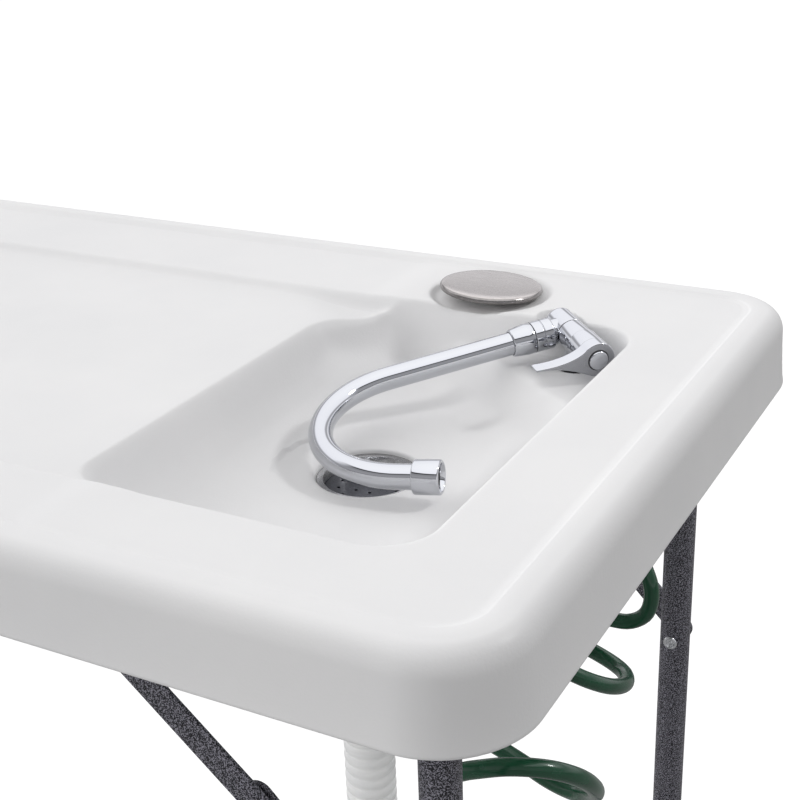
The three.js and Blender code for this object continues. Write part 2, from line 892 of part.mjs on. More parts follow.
// Rings square to a centreline, for a tube that stays open at both ends.
// The centreline lies in a plane, and side is the direction square to it.
function tubeRings(points, tangents, radius, sides, side) {
  return points.map((point, i) => {
    const up = new THREE.Vector3().crossVectors(side, tangents[i]).normalize();
    const across = new THREE.Vector3().crossVectors(tangents[i], up).normalize();
    return Array.from({ length: sides }, (unused, j) => {
      const a = (j / sides) * Math.PI * 2;
      const lifted = point.clone().addScaledVector(up, radius * Math.cos(a));
      return lifted.addScaledVector(across, radius * Math.sin(a));
    });
  });
}

function gooseneck(tap, holder) {
  const { bendEnd, out } = spoutPath();
  const angle = bendAngle * degree;
  const steps = 14;
  const points = [new THREE.Vector3(0, 0, socketReach + fitGap), new THREE.Vector3(0, 0, stemLength)];
  const tangents = [new THREE.Vector3(0, 0, 1), new THREE.Vector3(0, 0, 1)];
  for (let i = 1; i <= steps; i += 1) {
    const a = (i / steps) * angle;
    points.push(new THREE.Vector3(bendRadius * (1 - Math.cos(a)), 0, stemLength + bendRadius * Math.sin(a)));
    tangents.push(new THREE.Vector3(Math.sin(a), 0, Math.cos(a)));
  }
  points.push(bendEnd.clone().addScaledVector(out, bendTail));
  tangents.push(out);
  const side = new THREE.Vector3(0, 1, 0);
  const pipe = loft([
    ...tubeRings(points, tangents, pipeRadius, 14, side),
    ...tubeRings(points, tangents, pipeBore, 14, side).reverse(),
  ], true);
  pipe.applyMatrix4(holder.matrix);
  add(tap, 'gooseneck', pipe, colours.chrome, 0.1, 1);

  const nozzleStart = bendTail - nozzleGrip;
  const nozzle = turnedRing([
    [pipeRadius + fitGap, 0],
    [nozzleRadius - nozzleLip, 0],
    [nozzleRadius, nozzleLip],
    [nozzleRadius, nozzleLength - nozzleLip],
    [nozzleRadius - nozzleLip, nozzleLength],
    [nozzleOutlet, nozzleLength],
    [nozzleOutlet, nozzleLength - nozzleGrip],
    [pipeBore - nozzleLip, nozzleLength - nozzleGrip],
    [pipeBore - nozzleLip, nozzleGrip + fitGap],
    [pipeRadius + fitGap, nozzleGrip + fitGap],
  ], 24);
  const place = new THREE.Group();
  place.position.copy(bendEnd.clone().addScaledVector(out, nozzleStart));
  place.rotation.y = Math.atan2(out.x, out.z);
  place.updateMatrix();
  nozzle.applyMatrix4(place.matrix).applyMatrix4(holder.matrix);
  add(tap, 'nozzle', nozzle, colours.chrome, 0.12, 1);
}

// The lever is a drop-shaped profile square to the barrel: a round hub and a slim blade.
function leverProfile() {
  const shape = new THREE.Shape();
  shape.absarc(0, 0, leverHubRadius, leverArcStartAngle * degree, leverArcEndAngle * degree, false);
  shape.bezierCurveTo(...leverBladeTop.flat());
  const [tip, ...back] = leverBladeUnder;
  shape.lineTo(...tip);
  shape.bezierCurveTo(...back.flat());
  return shape;
}

function lever(tap) {
  const front = leverStart + leverBarrel;
  const blade = new THREE.ExtrudeGeometry(leverProfile(), {
    depth: leverWidth,
    bevelEnabled: false,
    curveSegments: 10,
  });
  // The profile's X runs along the tap's Y and its Y upwards.
  const turn = new THREE.Matrix4().makeBasis(
    new THREE.Vector3(0, 1, 0),
    new THREE.Vector3(0, 0, 1),
    new THREE.Vector3(1, 0, 0),
  );
  blade.applyMatrix4(turn);
  blade.translate(front - leverWidth, 0, barrelHeight);
  const barrel = alongX(cylinder(leverBarrelRadius, leverStart, front - leverWidth / 2, 24));
  const hole = alongX(cylinder(spindleRadius + fitGap, leverStart - cutOverrun, front + cutOverrun, 20));
  add(tap, 'tap_lever', cutAll(joinAll([blade, barrel]), [hole]), colours.chrome, 0.12, 1);
  const capStart = front + fitGap;
  const cap = turned([
    [0, capStart],
    [leverCapRadius, capStart],
    [leverCapRadius, capStart + leverCapHeight / 2],
    [leverCapTip, capStart + leverCapHeight],
    [0, capStart + leverCapHeight],
  ], 24);
  add(tap, 'lever_cap', alongX(cap), colours.chrome, 0.15, 1);
}

function tapAssembly() {
  const tap = new THREE.Group();
  placeTap(tap);
  tapBody(tap);
  tapSeatPieces(tap);
  const holder = spoutHub(tap);
  gooseneck(tap, holder);
  lever(tap);
  const nutTop = -shankDrop + inletNutHeight;
  const inlet = cutAll(cylinder(inletNutRadius, -shankDrop - inletTail, nutTop, 6), [
    cylinder(shankRadius + fitGap, -shankDrop - fitGap, nutTop + cutOverrun, 20),
    cylinder(shankBore, -shankDrop - inletNutHeight * 2, nutTop, 12),
  ]);
  add(tap, 'supply_nut', inlet, colours.brass, 0.4, 0.9);
  table.add(tap);
  tap.updateMatrixWorld(true);
  return tap;
}

// Leg frames
function legFrame(side) {
  const right = side === 'right';
  const sign = right ? 1 : -1;
  const halfSpan = halfDepth - (right ? rightLegLedge : leftLegLedge);
  const pivotZ = topZ - rightPivotDrop - (right ? 0 : frameStackStep);
  const x = sign * (halfLength - legInset);
  const foot = footSole + fitGap;
  const bend = legBendRadius;
  const points = [new THREE.Vector3(0, -halfSpan, foot), new THREE.Vector3(0, -halfSpan, pivotZ - bend)];
  const tangents = [new THREE.Vector3(0, 0, 1), new THREE.Vector3(0, 0, 1)];
  const legSide = new THREE.Vector3(1, 0, 0);
  const steps = 5;
  for (let i = 1; i <= steps; i += 1) {
    const a = (i / steps) * (Math.PI / 2);
    const inward = bend * (1 - Math.cos(a));
    points.push(new THREE.Vector3(0, inward - halfSpan, pivotZ - bend + bend * Math.sin(a)));
    tangents.push(new THREE.Vector3(0, Math.sin(a), Math.cos(a)));
  }
  const mirrored = points.map((p) => new THREE.Vector3(p.x, -p.y, p.z)).reverse();
  const mirroredTangents = tangents.map((t) => new THREE.Vector3(0, t.y, -t.z)).reverse();
  const allPoints = [...points, ...mirrored];
  const allTangents = [...tangents, ...mirroredTangents];
  const bore = legTubeRadius - legTubeWall;
  const tube = loft([
    ...tubeRings(allPoints, allTangents, legTubeRadius, 14, legSide),
    ...tubeRings(allPoints, allTangents, bore, 14, legSide).reverse(),
  ], true);
  const rivetZ = pivotZ - braceLegDrop;
  const holes = [1, -1].map((end) => crossCylinder(
    rivetRadius + fitGap,
    0,
    end * (halfSpan - legTubeRadius - cutOverrun),
    end * (halfSpan + legTubeRadius + cutOverrun),
    rivetZ,
    8,
  ));
  const frame = cutAll(tube, holes);
  frame.translate(x, 0, 0);
  add(table, `${side}_leg_frame`, frame, colours.legPaint, 0.55, 0.5);
  crossbar(side, x, halfSpan);
  [1, -1].forEach((end) => footCap(side, end, x, halfSpan));
  [1, -1].forEach((end) => saddle(side, end, x, halfSpan, pivotZ));
  [1, -1].forEach((end) => brace(side, end, x, halfSpan, pivotZ, rivetZ));
}

function crossbar(side, x, halfSpan) {
  const bar = crossCylinder(crossbarRadius, x, -halfSpan, halfSpan, crossbarHeight, 14);
  const copeLow = crossbarHeight - legBendRadius;
  const copeHigh = crossbarHeight + legBendRadius;
  const copes = [1, -1].map((end) => {
    const cope = cylinder(legTubeRadius + fitGap, copeLow, copeHigh, 24);
    cope.translate(x, end * halfSpan, 0);
    return cope;
  });
  add(table, `${side}_crossbar`, cutAll(bar, copes), colours.legPaint, 0.55, 0.5);
}

function endName(end) {
  return end > 0 ? 'rear' : 'front';
}

function footCap(side, end, x, halfSpan) {
  const cap = turnedRing([
    [0, 0],
    [footRadius - lipRound, 0],
    [footRadius, lipRound],
    [footRadius, footHeight],
    [legTubeRadius + fitGap, footHeight],
    [legTubeRadius + fitGap, footSole],
    [0, footSole],
  ], 20);
  cap.translate(x, end * halfSpan, 0);
  add(table, `${side}_${endName(end)}_foot`, cap, colours.rubber, 0.8, 0);
}

function saddle(side, end, x, halfSpan, pivotZ) {
  const inner = legTubeRadius + fitGap * 2;
  const outer = inner + saddleThickness;
  const rise = slabZ - fitGap - pivotZ;
  const reach = outer + saddleFoot;
  const shape = new THREE.Shape();
  shape.moveTo(-outer, rise);
  shape.lineTo(-outer, 0);
  shape.absarc(0, 0, outer, Math.PI, Math.PI * 2, false);
  shape.lineTo(outer, rise - saddleThickness);
  shape.lineTo(reach, rise - saddleThickness);
  shape.lineTo(reach, rise);
  shape.lineTo(inner, rise);
  shape.lineTo(inner, 0);
  shape.absarc(0, 0, inner, Math.PI * 2, Math.PI, true);
  shape.lineTo(-inner, rise);
  const y = end * (halfSpan - saddleFromLeg);
  const strap = plateAcross(shape, y - saddleWidth / 2, y + saddleWidth / 2, 8);
  if (x < 0) strap.rotateZ(Math.PI);
  if (x < 0) strap.translate(0, y * 2, 0);
  strap.translate(x, 0, pivotZ);
  const holeX = x + Math.sign(x) * (outer + saddleFoot / 2);
  const holes = [1, -1].map((way) => {
    const hole = cylinder(saddleHole, slabZ - saddleThickness - cutOverrun * 2, slabZ, 10);
    hole.translate(holeX, y + way * saddleWidth / 4, 0);
    return hole;
  });
  add(table, `${side}_${endName(end)}_saddle`, cutAll(strap, holes), colours.steel, 0.4, 0.9);
}

// Braces
// A flat link between two points of the XZ plane, with round ends.
function linkShape(from, to) {
  const along = to.clone().sub(from);
  const angle = Math.atan2(along.y, along.x);
  const shape = new THREE.Shape();
  const half = linkWidth / 2;
  shape.absarc(from.x, from.y, half, angle + Math.PI / 2, angle + Math.PI * 1.5, false);
  shape.absarc(to.x, to.y, half, angle - Math.PI / 2, angle + Math.PI / 2, false);
  return shape;
}

function brace(side, end, x, halfSpan, pivotZ, rivetZ) {
  const sign = Math.sign(x);
  const name = `${side}_${endName(end)}`;
  const top = new THREE.Vector2(x - sign * braceSpan, pivotZ + braceTopRise);
  const low = new THREE.Vector2(x, rivetZ);
  const pitch = upperLinkAngle * degree;
  const knee = new THREE.Vector2(
    top.x + sign * upperLinkLength * Math.cos(pitch),
    top.y - upperLinkLength * Math.sin(pitch),
  );
  const y = (depth) => end * (halfSpan + legTubeRadius + depth);
  const lowerIn = fitGap * 2;
  const lowerOut = lowerIn + linkThickness;
  const upperIn = lowerOut + linkGap;
  const upperOut = upperIn + linkThickness;
  const pin = (at, from, to, sides = 10) => crossCylinder(rivetRadius, at.x, y(from), y(to), at.y, sides);
  const head = (at, from, to) => crossCylinder(rivetHeadRadius, at.x, y(from), y(to), at.y, 14);
  const pinHole = (at, from, to) => crossCylinder(rivetRadius + fitGap, at.x, y(from), y(to), at.y, 12);

  const lower = cutAll(plateAcross(linkShape(knee, low), y(lowerIn), y(lowerOut)), [
    pinHole(low, 0, lowerOut + cutOverrun),
    pinHole(knee, 0, lowerOut + cutOverrun),
  ]);
  add(table, `${name}_lower_link`, lower, colours.legPaint, 0.55, 0.5);

  const upperPlate = cutAll(plateAcross(linkShape(top, knee), y(upperIn), y(upperOut)), [
    pinHole(top, upperIn - cutOverrun, upperOut + cutOverrun),
  ]);
  const kneeHead = head(knee, upperOut - fitGap, upperOut + rivetHeadHeight);
  add(table, `${name}_upper_link`, joinAll([upperPlate, kneeHead]), colours.legPaint, 0.55, 0.5);

  const farSide = -legTubeRadius * 2;
  const legRivet = joinAll([
    pin(low, farSide - rivetTailHeight / 2, lowerOut + rivetHeadHeight / 2),
    head(low, lowerOut + fitGap, lowerOut + fitGap + rivetHeadHeight),
    head(low, farSide - fitGap, farSide - rivetTailHeight),
  ]);
  add(table, `${name}_leg_rivet`, legRivet, colours.steel, 0.35, 0.9);

  const kneeRivet = joinAll([
    pin(knee, lowerIn, lowerOut + linkGap / 2),
    head(knee, lowerOut + fitGap, upperIn - fitGap),
  ]);
  add(table, `${name}_knee_rivet`, kneeRivet, colours.steel, 0.35, 0.9);
  bracket(name, top, y, upperIn, upperOut);
}

function bracket(name, top, y, upperIn, upperOut) {
  const plateIn = upperOut + fitGap;
  const plateOut = plateIn + bracketThickness;
  const half = bracketWidth / 2;
  const lift = slabZ - fitGap;
  const shape = new THREE.Shape();
  shape.moveTo(top.x - half, lift);
  shape.lineTo(top.x - half, top.y);
  shape.lineTo(top.x - half / 2, top.y - bracketDrop);
  shape.lineTo(top.x + half / 2, top.y - bracketDrop);
  shape.lineTo(top.x + half, top.y);
  shape.lineTo(top.x + half, lift);
  const plate = plateAcross(shape, y(plateIn), y(plateOut));
  const ends = [y(plateIn + bracketThickness / 2), y(plateOut + bracketFlange)];
  const flange = box(
    top.x - half,
    top.x + half,
    Math.min(...ends),
    Math.max(...ends),
    lift - bracketThickness,
    lift,
  );
  const tailAt = upperIn - fitGap;
  const round = (radius, from, to, sides) => crossCylinder(radius, top.x, y(from), y(to), top.y, sides);
  const pin = round(rivetRadius, tailAt - fitGap, plateOut - bracketThickness / 2, 10);
  const tail = round(rivetHeadRadius, tailAt, tailAt - rivetHeadHeight, 14);
  const head = round(rivetHeadRadius, plateOut - fitGap, plateOut + rivetHeadHeight, 14);
  add(table, `${name}_bracket`, joinAll([plate, flange, pin, tail, head]), colours.steel, 0.4, 0.9);
}

// The supply hose: straight down from the tap's inlet, loose curls, and up to its coupling.
function supplyRoute(inlet, down, end) {
  const straight = [0, 1, 2].map((step) => inlet.clone().addScaledVector(down, step * supplyRadius * 2));
  const curveOf = (rows) => new THREE.CatmullRomCurve3(rows.map((row) => new THREE.Vector3(...row)));
  const middles = curveOf(curlMiddles.map(([fromRight, drop], i) => [
    halfLength - fromRight,
    THREE.MathUtils.lerp(tapY, end.y, curlPlaceShares[i]),
    topZ - drop,
  ]));
  const tips = curveOf(curlTips);
  const turns = curveOf(curlTurnsAfter);
  const halfTurns = curlMiddles.length - 1;
  const perHalf = supplyLoopSteps / 4;
  const curls = [];
  for (let i = perHalf / 2; i <= halfTurns * perHalf; i += 1) {
    const share = i / (halfTurns * perHalf);
    const angle = (i / perHalf - 1) * Math.PI;
    curls.push(middles.getPoint(share)
      .addScaledVector(tips.getPoint(share), Math.cos(angle))
      .addScaledVector(turns.getPoint(share), Math.sin(angle)));
  }
  const beforeEnd = new THREE.Vector3(end.x, end.y, end.z - supplyEndStraight);
  return new THREE.CatmullRomCurve3([...straight, ...curls, beforeEnd, end], false, 'centripetal');
}

// The least distance between two stretches of a line that lie more than a turn's width apart along it.
function leastSelfGap(points, radius) {
  const step = points[0].distanceTo(points[1]);
  const skip = Math.ceil((radius * 6) / step);
  let least = Infinity;
  for (let i = 0; i < points.length; i += 1) {
    for (let j = i + skip; j < points.length; j += 1) {
      least = Math.min(least, points[i].distanceTo(points[j]) - radius * 2);
    }
  }
  return least;
}

function supplyHose(tap) {
  const inlet = new THREE.Vector3(0, 0, -shankDrop - inletTail - fitGap);
  const down = new THREE.Vector3(0, 0, -1).transformDirection(tap.matrixWorld);
  inlet.applyMatrix4(tap.matrixWorld);
  const end = new THREE.Vector3(halfLength - supplyEndFromRight, supplyEndY, topZ - supplyEndDrop);
  const route = supplyRoute(inlet, down, end);
  const length = route.getLength();
  const steps = Math.round(length / (supplyRadius * 2));
  const points = route.getSpacedPoints(steps);
  const frames = route.computeFrenetFrames(steps, false);
  const rings = points.map((point, i) => Array.from({ length: supplySides }, (unused, j) => {
    const a = (j / supplySides) * Math.PI * 2;
    return point.clone()
      .addScaledVector(frames.normals[i], supplyRadius * Math.cos(a))
      .addScaledVector(frames.binormals[i], supplyRadius * Math.sin(a));
  }));
  add(table, 'supply_hose', loft(rings), colours.green, 0.3, 0);
  const gap = leastSelfGap(points, supplyRadius);
  console.log(`supply hose: length ${length.toFixed(0)} mm, least gap to itself ${gap.toFixed(1)} mm`);
  coupling(end);
}

function coupling(end) {
  const base = end.z + fitGap;
  const body = turned([
    [0, base],
    [couplingNeckRadius, base],
    [couplingNeckRadius, base + couplingFerrule],
    [couplingRadius, base + couplingFerrule],
    [couplingRadius, base + couplingLength],
    [couplingBore, base + couplingLength],
    [couplingBore, base + couplingFerrule + fitGap],
    [0, base + couplingFerrule + fitGap],
  ], 20);
  body.translate(end.x, end.y, 0);
  add(table, 'hose_coupling', body, colours.brass, 0.35, 0.9);
  hoseClip(end, base + couplingFerrule - fitGap);
}

// A bent strip under the basin's foot, with a ring round the coupling's neck.
function hoseClip(end, z1) {
  const z0 = z1 - clipWidth;
  const ring = cylinder(couplingNeckRadius + fitGap + clipThickness, z0, z1, 20);
  ring.translate(end.x, end.y, 0);
  const hole = cylinder(couplingNeckRadius + fitGap, z0 - cutOverrun, z1 + cutOverrun, 20);
  hole.translate(end.x, end.y, 0);
  const x0 = end.x - couplingRadius - clipThickness * 3;
  const y0 = end.y - clipWidth / 2;
  const y1 = end.y + clipWidth / 2;
  const lift = basinFootZ - fitGap;
  const arm = box(x0, x0 + clipThickness, y0, y1, z0, lift);
  const strap = box(x0, end.x, end.y - clipThickness, end.y + clipThickness, z0, z1);
  const foot = box(x0 - clipFoot, x0 + clipThickness, y0, y1, lift - clipThickness, lift);
  add(table, 'hose_clip', cutAll(joinAll([ring, arm, strap, foot]), [hole]), colours.steel, 0.4, 0.9);
}

tableTop();
const drainConeZ = drain();
ribbedHose(drainConeZ - fitGap);
hoseClamp(drainConeZ - fitGap);
stopper();
supplyHose(tapAssembly());
legFrame('right');
legFrame('left');

export default table;
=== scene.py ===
import json
import math
import bmesh
import bpy
import numpy as np
from mathutils import Matrix, Vector
from mathutils.geometry import delaunay_2d_cdt


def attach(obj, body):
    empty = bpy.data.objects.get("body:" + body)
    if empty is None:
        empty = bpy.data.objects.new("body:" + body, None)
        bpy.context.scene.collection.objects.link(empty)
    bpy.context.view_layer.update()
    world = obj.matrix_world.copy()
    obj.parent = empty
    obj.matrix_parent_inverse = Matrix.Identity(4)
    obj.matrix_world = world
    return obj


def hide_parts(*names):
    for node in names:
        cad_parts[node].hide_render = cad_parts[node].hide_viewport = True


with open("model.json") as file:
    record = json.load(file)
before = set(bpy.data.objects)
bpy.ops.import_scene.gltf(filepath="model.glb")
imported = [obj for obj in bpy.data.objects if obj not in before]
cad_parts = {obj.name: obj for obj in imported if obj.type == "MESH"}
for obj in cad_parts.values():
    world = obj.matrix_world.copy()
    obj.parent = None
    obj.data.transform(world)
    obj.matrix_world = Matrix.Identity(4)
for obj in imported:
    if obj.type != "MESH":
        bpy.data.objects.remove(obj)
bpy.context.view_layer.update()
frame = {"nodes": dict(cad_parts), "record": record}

mm = 0.001
print("stage: frame loaded")


def shift(*place):
    return Matrix.Translation(Vector(place) * mm)


# Camera and light
photoCamera = {
    "place": (0.81121, -0.80950, 1.32605),
    "right": (0.8821, 0.4698, -0.0338),
    "up": (-0.1577, 0.3623, 0.9186),
    "back": (0.4438, -0.8050, 0.3938),
    "lens": 64.28,
    "sensor": 36.0,
}


def addObject(name, data):
    made = bpy.data.objects.new(name, data)
    bpy.context.scene.collection.objects.link(made)
    return made


def makeCamera(values):
    data = bpy.data.cameras.new("photoCamera")
    data.lens = values["lens"]
    data.sensor_width = values["sensor"]
    data.clip_end = 50
    camera = addObject("photoCamera", data)
    turn = Matrix((values["right"], values["up"], values["back"])).transposed().to_4x4()
    camera.matrix_world = Matrix.Translation(Vector(values["place"])) @ turn
    bpy.context.scene.camera = camera
    return camera


makeCamera(photoCamera)
bpy.context.scene.view_settings.view_transform = "Standard"

# Soft light comes mostly from the left, front and rear of the room, and the key lamp from the right rear.
# In the shades that metal mirrors, each row is a height (0 down, 0.5 level, 1 up) and its brightness.
studio = {
    "leftLight": 1.86,
    "sideLight": 0.78,
    "topLight": 0.09,
    "keyPower": 74.0,
    "keySize": 0.9,
    "keyFrom": (3.82, 1.82, 4.6),
    "floorSize": 60.0,
    "floorGlow": 0.76,
    "floorShade": 0.36,
    "nearSide": (0.38, -0.92, 0.0),
    "nearShades": ((0.0, 0.6), (0.50, 0.05), (0.525, 0.04), (0.535, 1.3), (0.555, 1.3), (0.57, 0.36), (0.70, 0.50),
                   (0.81, 0.38), (0.825, 0.04), (0.85, 0.04), (0.865, 1.5), (1.0, 1.6)),
    "farShades": ((0.0, 0.6), (0.50, 0.60), (0.56, 1.0), (0.62, 1.1), (0.66, 0.55), (0.70, 0.6), (0.74, 1.4),
                  (1.0, 1.6)),
}


# A shader node with its settings; each of its inputs is a value or the output of another node.
def addNode(tree, kind, inputs={}, **settings):
    made = tree.nodes.new("ShaderNode" + kind)
    for key, value in settings.items():
        setattr(made, key, value)
    for key, value in inputs.items():
        if isinstance(value, bpy.types.NodeSocket):
            tree.links.new(value, made.inputs[key])
        else:
            made.inputs[key].default_value = value
    return made


def remap(tree, value, lowIn, highIn, lowOut, highOut):
    made = addNode(tree, "MapRange", {"Value": value, "From Min": lowIn, "From Max": highIn,
                                      "To Min": lowOut, "To Max": highOut})
    return made.outputs["Result"]


def shadeRamp(tree, place, shades):
    ramp = addNode(tree, "ValToRGB", {"Fac": place})
    row = ramp.color_ramp
    row.elements[0].position, row.elements[1].position = shades[0][0], shades[-1][0]
    row.elements[0].color = (*[shades[0][1]] * 3, 1)
    row.elements[1].color = (*[shades[-1][1]] * 3, 1)
    for spot, shade in shades[1:-1]:
        row.elements.new(spot).color = (shade, shade, shade * 1.03, 1)
    return ramp.outputs["Color"]


def makeWorld(values):
    world = bpy.data.worlds.new("studio")
    bpy.context.scene.world = world
    world.use_nodes = True
    tree = world.node_tree
    tree.nodes.clear()
    white = (1, 1, 1, 1)
    way = addNode(tree, "TexCoord").outputs["Generated"]
    split = addNode(tree, "SeparateXYZ", {0: way}).outputs
    # three soft lights: to the left, to the front and rear alike, and overhead
    total = 0
    for axis, turn, strength in (("X", -1, "leftLight"), ("Y", 0, "sideLight"), ("Z", 1, "topLight")):
        side = addNode(tree, "Math", {0: split[axis], 1: turn}, operation="MULTIPLY" if turn else "ABSOLUTE")
        share = addNode(tree, "Math", {0: side.outputs[0], 1: 0}, operation="MAXIMUM")
        added = addNode(tree, "Math", {0: share.outputs[0], 1: values[strength], 2: total}, operation="MULTIPLY_ADD")
        total = added.outputs[0]
    # what metal mirrors: one row of shades near the camera, another away from it
    half = addNode(tree, "Math", {0: split["Z"], 1: 0.5, 2: 0.5}, operation="MULTIPLY_ADD").outputs[0]
    towards = addNode(tree, "VectorMath", {0: way, 1: values["nearSide"]}, operation="DOT_PRODUCT")
    near = remap(tree, towards.outputs["Value"], -0.15, 0.15, 0, 1)
    farRow, nearRow = (shadeRamp(tree, half, values[key]) for key in ("farShades", "nearShades"))
    room = addNode(tree, "Mix", data_type="RGBA")
    for key, value in (("Factor", near), ("A", farRow), ("B", nearRow)):
        tree.links.new(value, room.inputs[key])
    lit = addNode(tree, "Background", {"Color": white, "Strength": total})
    mirrored = addNode(tree, "Background", {"Color": room.outputs["Result"]})
    seen = addNode(tree, "Background", {"Color": white, "Strength": 1.0})
    rays = addNode(tree, "LightPath").outputs
    first = addNode(tree, "MixShader", {0: rays["Is Glossy Ray"], 1: lit.outputs[0], 2: mirrored.outputs[0]})
    second = addNode(tree, "MixShader", {0: rays["Is Camera Ray"], 1: first.outputs[0], 2: seen.outputs[0]})
    addNode(tree, "OutputWorld", {"Surface": second.outputs[0]})


def areaLight(name, place, aim, size, power):
    data = bpy.data.lights.new(name, "AREA")
    data.shape = "DISK"
    data.size = size
    data.energy = power
    lamp = addObject(name, data)
    lamp.location = place
    lamp.rotation_mode = "QUATERNION"
    lamp.rotation_quaternion = (Vector(aim) - Vector(place)).to_track_quat("-Z", "Y")
    return lamp


def makeFloor(values):
    half = values["floorSize"] / 2
    mesh = bpy.data.meshes.new("studioFloor")
    mesh.from_pydata([(-half, -half, 0), (half, -half, 0), (half, half, 0), (-half, half, 0)], [], [(0, 1, 2, 3)])
    floor = addObject("studioFloor", mesh)
    paper = bpy.data.materials.new("studioPaper")
    paper.use_nodes = True
    tree = paper.node_tree
    tree.nodes.clear()
    matt = addNode(tree, "BsdfDiffuse", {"Color": (*[values["floorShade"]] * 3, 1)}).outputs[0]
    glow = addNode(tree, "Emission", {"Strength": values["floorGlow"]}).outputs[0]
    both = addNode(tree, "AddShader", {0: matt, 1: glow}).outputs[0]
    rays = addNode(tree, "LightPath").outputs
    mix = addNode(tree, "MixShader", {0: rays["Is Camera Ray"], 1: matt, 2: both}).outputs[0]
    addNode(tree, "OutputMaterial", {"Surface": mix})
    mesh.materials.append(paper)


makeWorld(studio)
makeFloor(studio)
topMiddle = (0.2, 0.0, 0.9)
areaLight("keyLamp", studio["keyFrom"], topMiddle, studio["keySize"], studio["keyPower"])
print("stage: camera, light and floor")


# Materials. Each starts from one shader and gets its own colour variation, roughness and bump.
def newMaterial(name, colour, roughness, metallic=0.0, **sockets):
    made = bpy.data.materials.new(name)
    made.use_nodes = True
    tree = made.node_tree
    shader = tree.nodes["Principled BSDF"]
    shader.inputs["Base Color"].default_value = (*colour, 1)
    shader.inputs["Roughness"].default_value = roughness
    shader.inputs["Metallic"].default_value = metallic
    for key, value in sockets.items():
        shader.inputs[key.replace("_", " ")].default_value = value
    made.diffuse_color = (*colour, 1)
    return made, tree, shader


def objectPlace(tree, stretch=(1, 1, 1)):
    place = addNode(tree, "TexCoord").outputs["Object"]
    return addNode(tree, "Mapping", {"Vector": place, "Scale": stretch}).outputs["Vector"]


def noise(tree, vector, scale, detail=2.0, roughness=0.5):
    made = addNode(tree, "TexNoise", {"Vector": vector, "Scale": scale, "Detail": detail, "Roughness": roughness})
    return made.outputs["Fac"]


def blendColours(tree, factor, first, second):
    made = addNode(tree, "Mix", {"Factor": factor, "A": (*first, 1), "B": (*second, 1)}, data_type="RGBA")
    return made.outputs["Result"]


def addBump(tree, shader, height, strength, distance, before=None):
    made = addNode(tree, "Bump", {"Height": height, "Strength": strength, "Distance": distance})
    if before is not None:
        tree.links.new(before, made.inputs["Normal"])
    tree.links.new(made.outputs["Normal"], shader.inputs["Normal"])
    return made.outputs["Normal"]


# Colour and roughness that change together over the surface.
def weather(tree, shader, value, colours, roughness, span=(0.35, 0.7)):
    tint = blendColours(tree, remap(tree, value, *span, 0, 1), *colours)
    tree.links.new(tint, shader.inputs["Base Color"])
    tree.links.new(remap(tree, value, 0.3, 0.7, *roughness), shader.inputs["Roughness"])


def mouldedPlastic():
    look = {"colour": (0.845, 0.84, 0.845), "shade": (0.815, 0.812, 0.82), "roughness": 0.42}
    made, tree, shader = newMaterial("mouldedPlastic", look["colour"], look["roughness"],
                                     Specular_IOR_Level=0.26)
    vector = objectPlace(tree)
    clouds = noise(tree, vector, 9, 4)
    tint = blendColours(tree, remap(tree, clouds, 0.35, 0.7, 0, 1), look["colour"], look["shade"])
    tree.links.new(tint, shader.inputs["Base Color"])
    tree.links.new(remap(tree, noise(tree, vector, 30, 3), 0.3, 0.7, 0.36, 0.48), shader.inputs["Roughness"])
    wave = addBump(tree, shader, noise(tree, vector, 22, 2), 0.10, 0.004)
    addBump(tree, shader, noise(tree, vector, 520, 3), 0.22, 0.0005, wave)
    return made


def legPaint():
    look = {"dark": (0.010, 0.0095, 0.014), "light": (0.35, 0.342, 0.40), "speckle": 1250}
    made, tree, shader = newMaterial("hammeredPaint", look["dark"], 0.42, 0.2, Specular_IOR_Level=0.5)
    vector = objectPlace(tree)
    grain = noise(tree, vector, look["speckle"], 2, 0.55)
    weather(tree, shader, grain, (look["dark"], look["light"]), (0.5, 0.3), (0.505, 0.56))
    addBump(tree, shader, grain, 0.35, 0.0006)
    return made


def chromePlate(name="chromePlate", roughness=0.03, colour=(0.55, 0.56, 0.59)):
    made, tree, shader = newMaterial(name, colour, roughness, 1.0)
    vector = objectPlace(tree)
    smears = remap(tree, noise(tree, vector, 60, 3), 0.3, 0.7, roughness * 0.7, roughness * 1.5)
    tree.links.new(smears, shader.inputs["Roughness"])
    addBump(tree, shader, noise(tree, vector, 70, 1), 0.05, 0.0008)
    return made


# The stretch sets the way and the fineness of the brushed lines.
def brushedMetal(name="brushedMetal", colour=(0.53, 0.50, 0.49), roughness=0.24, stretch=(60, 1400, 60)):
    made, tree, shader = newMaterial(name, colour, roughness, 1.0)
    vector = objectPlace(tree, stretch)
    lines = noise(tree, vector, 1.0, 3, 0.6)
    darker = tuple(c * 0.8 for c in colour)
    weather(tree, shader, lines, (colour, darker), (roughness * 0.8, roughness * 1.35), (0.3, 0.7))
    addBump(tree, shader, lines, 0.08, 0.0003)
    return made


# A finish with two tints in soft patches and a finer bump; scales are for noise.
def patched(name, look, metallic=0.0, **sockets):
    made, tree, shader = newMaterial(name, look["colour"], look["roughness"], metallic, **sockets)
    vector = objectPlace(tree)
    weather(tree, shader, noise(tree, vector, *look["patches"]), look["tints"], look["sheen"], look["span"])
    addBump(tree, shader, noise(tree, vector, look["grain"], 2), *look["bump"])
    return made


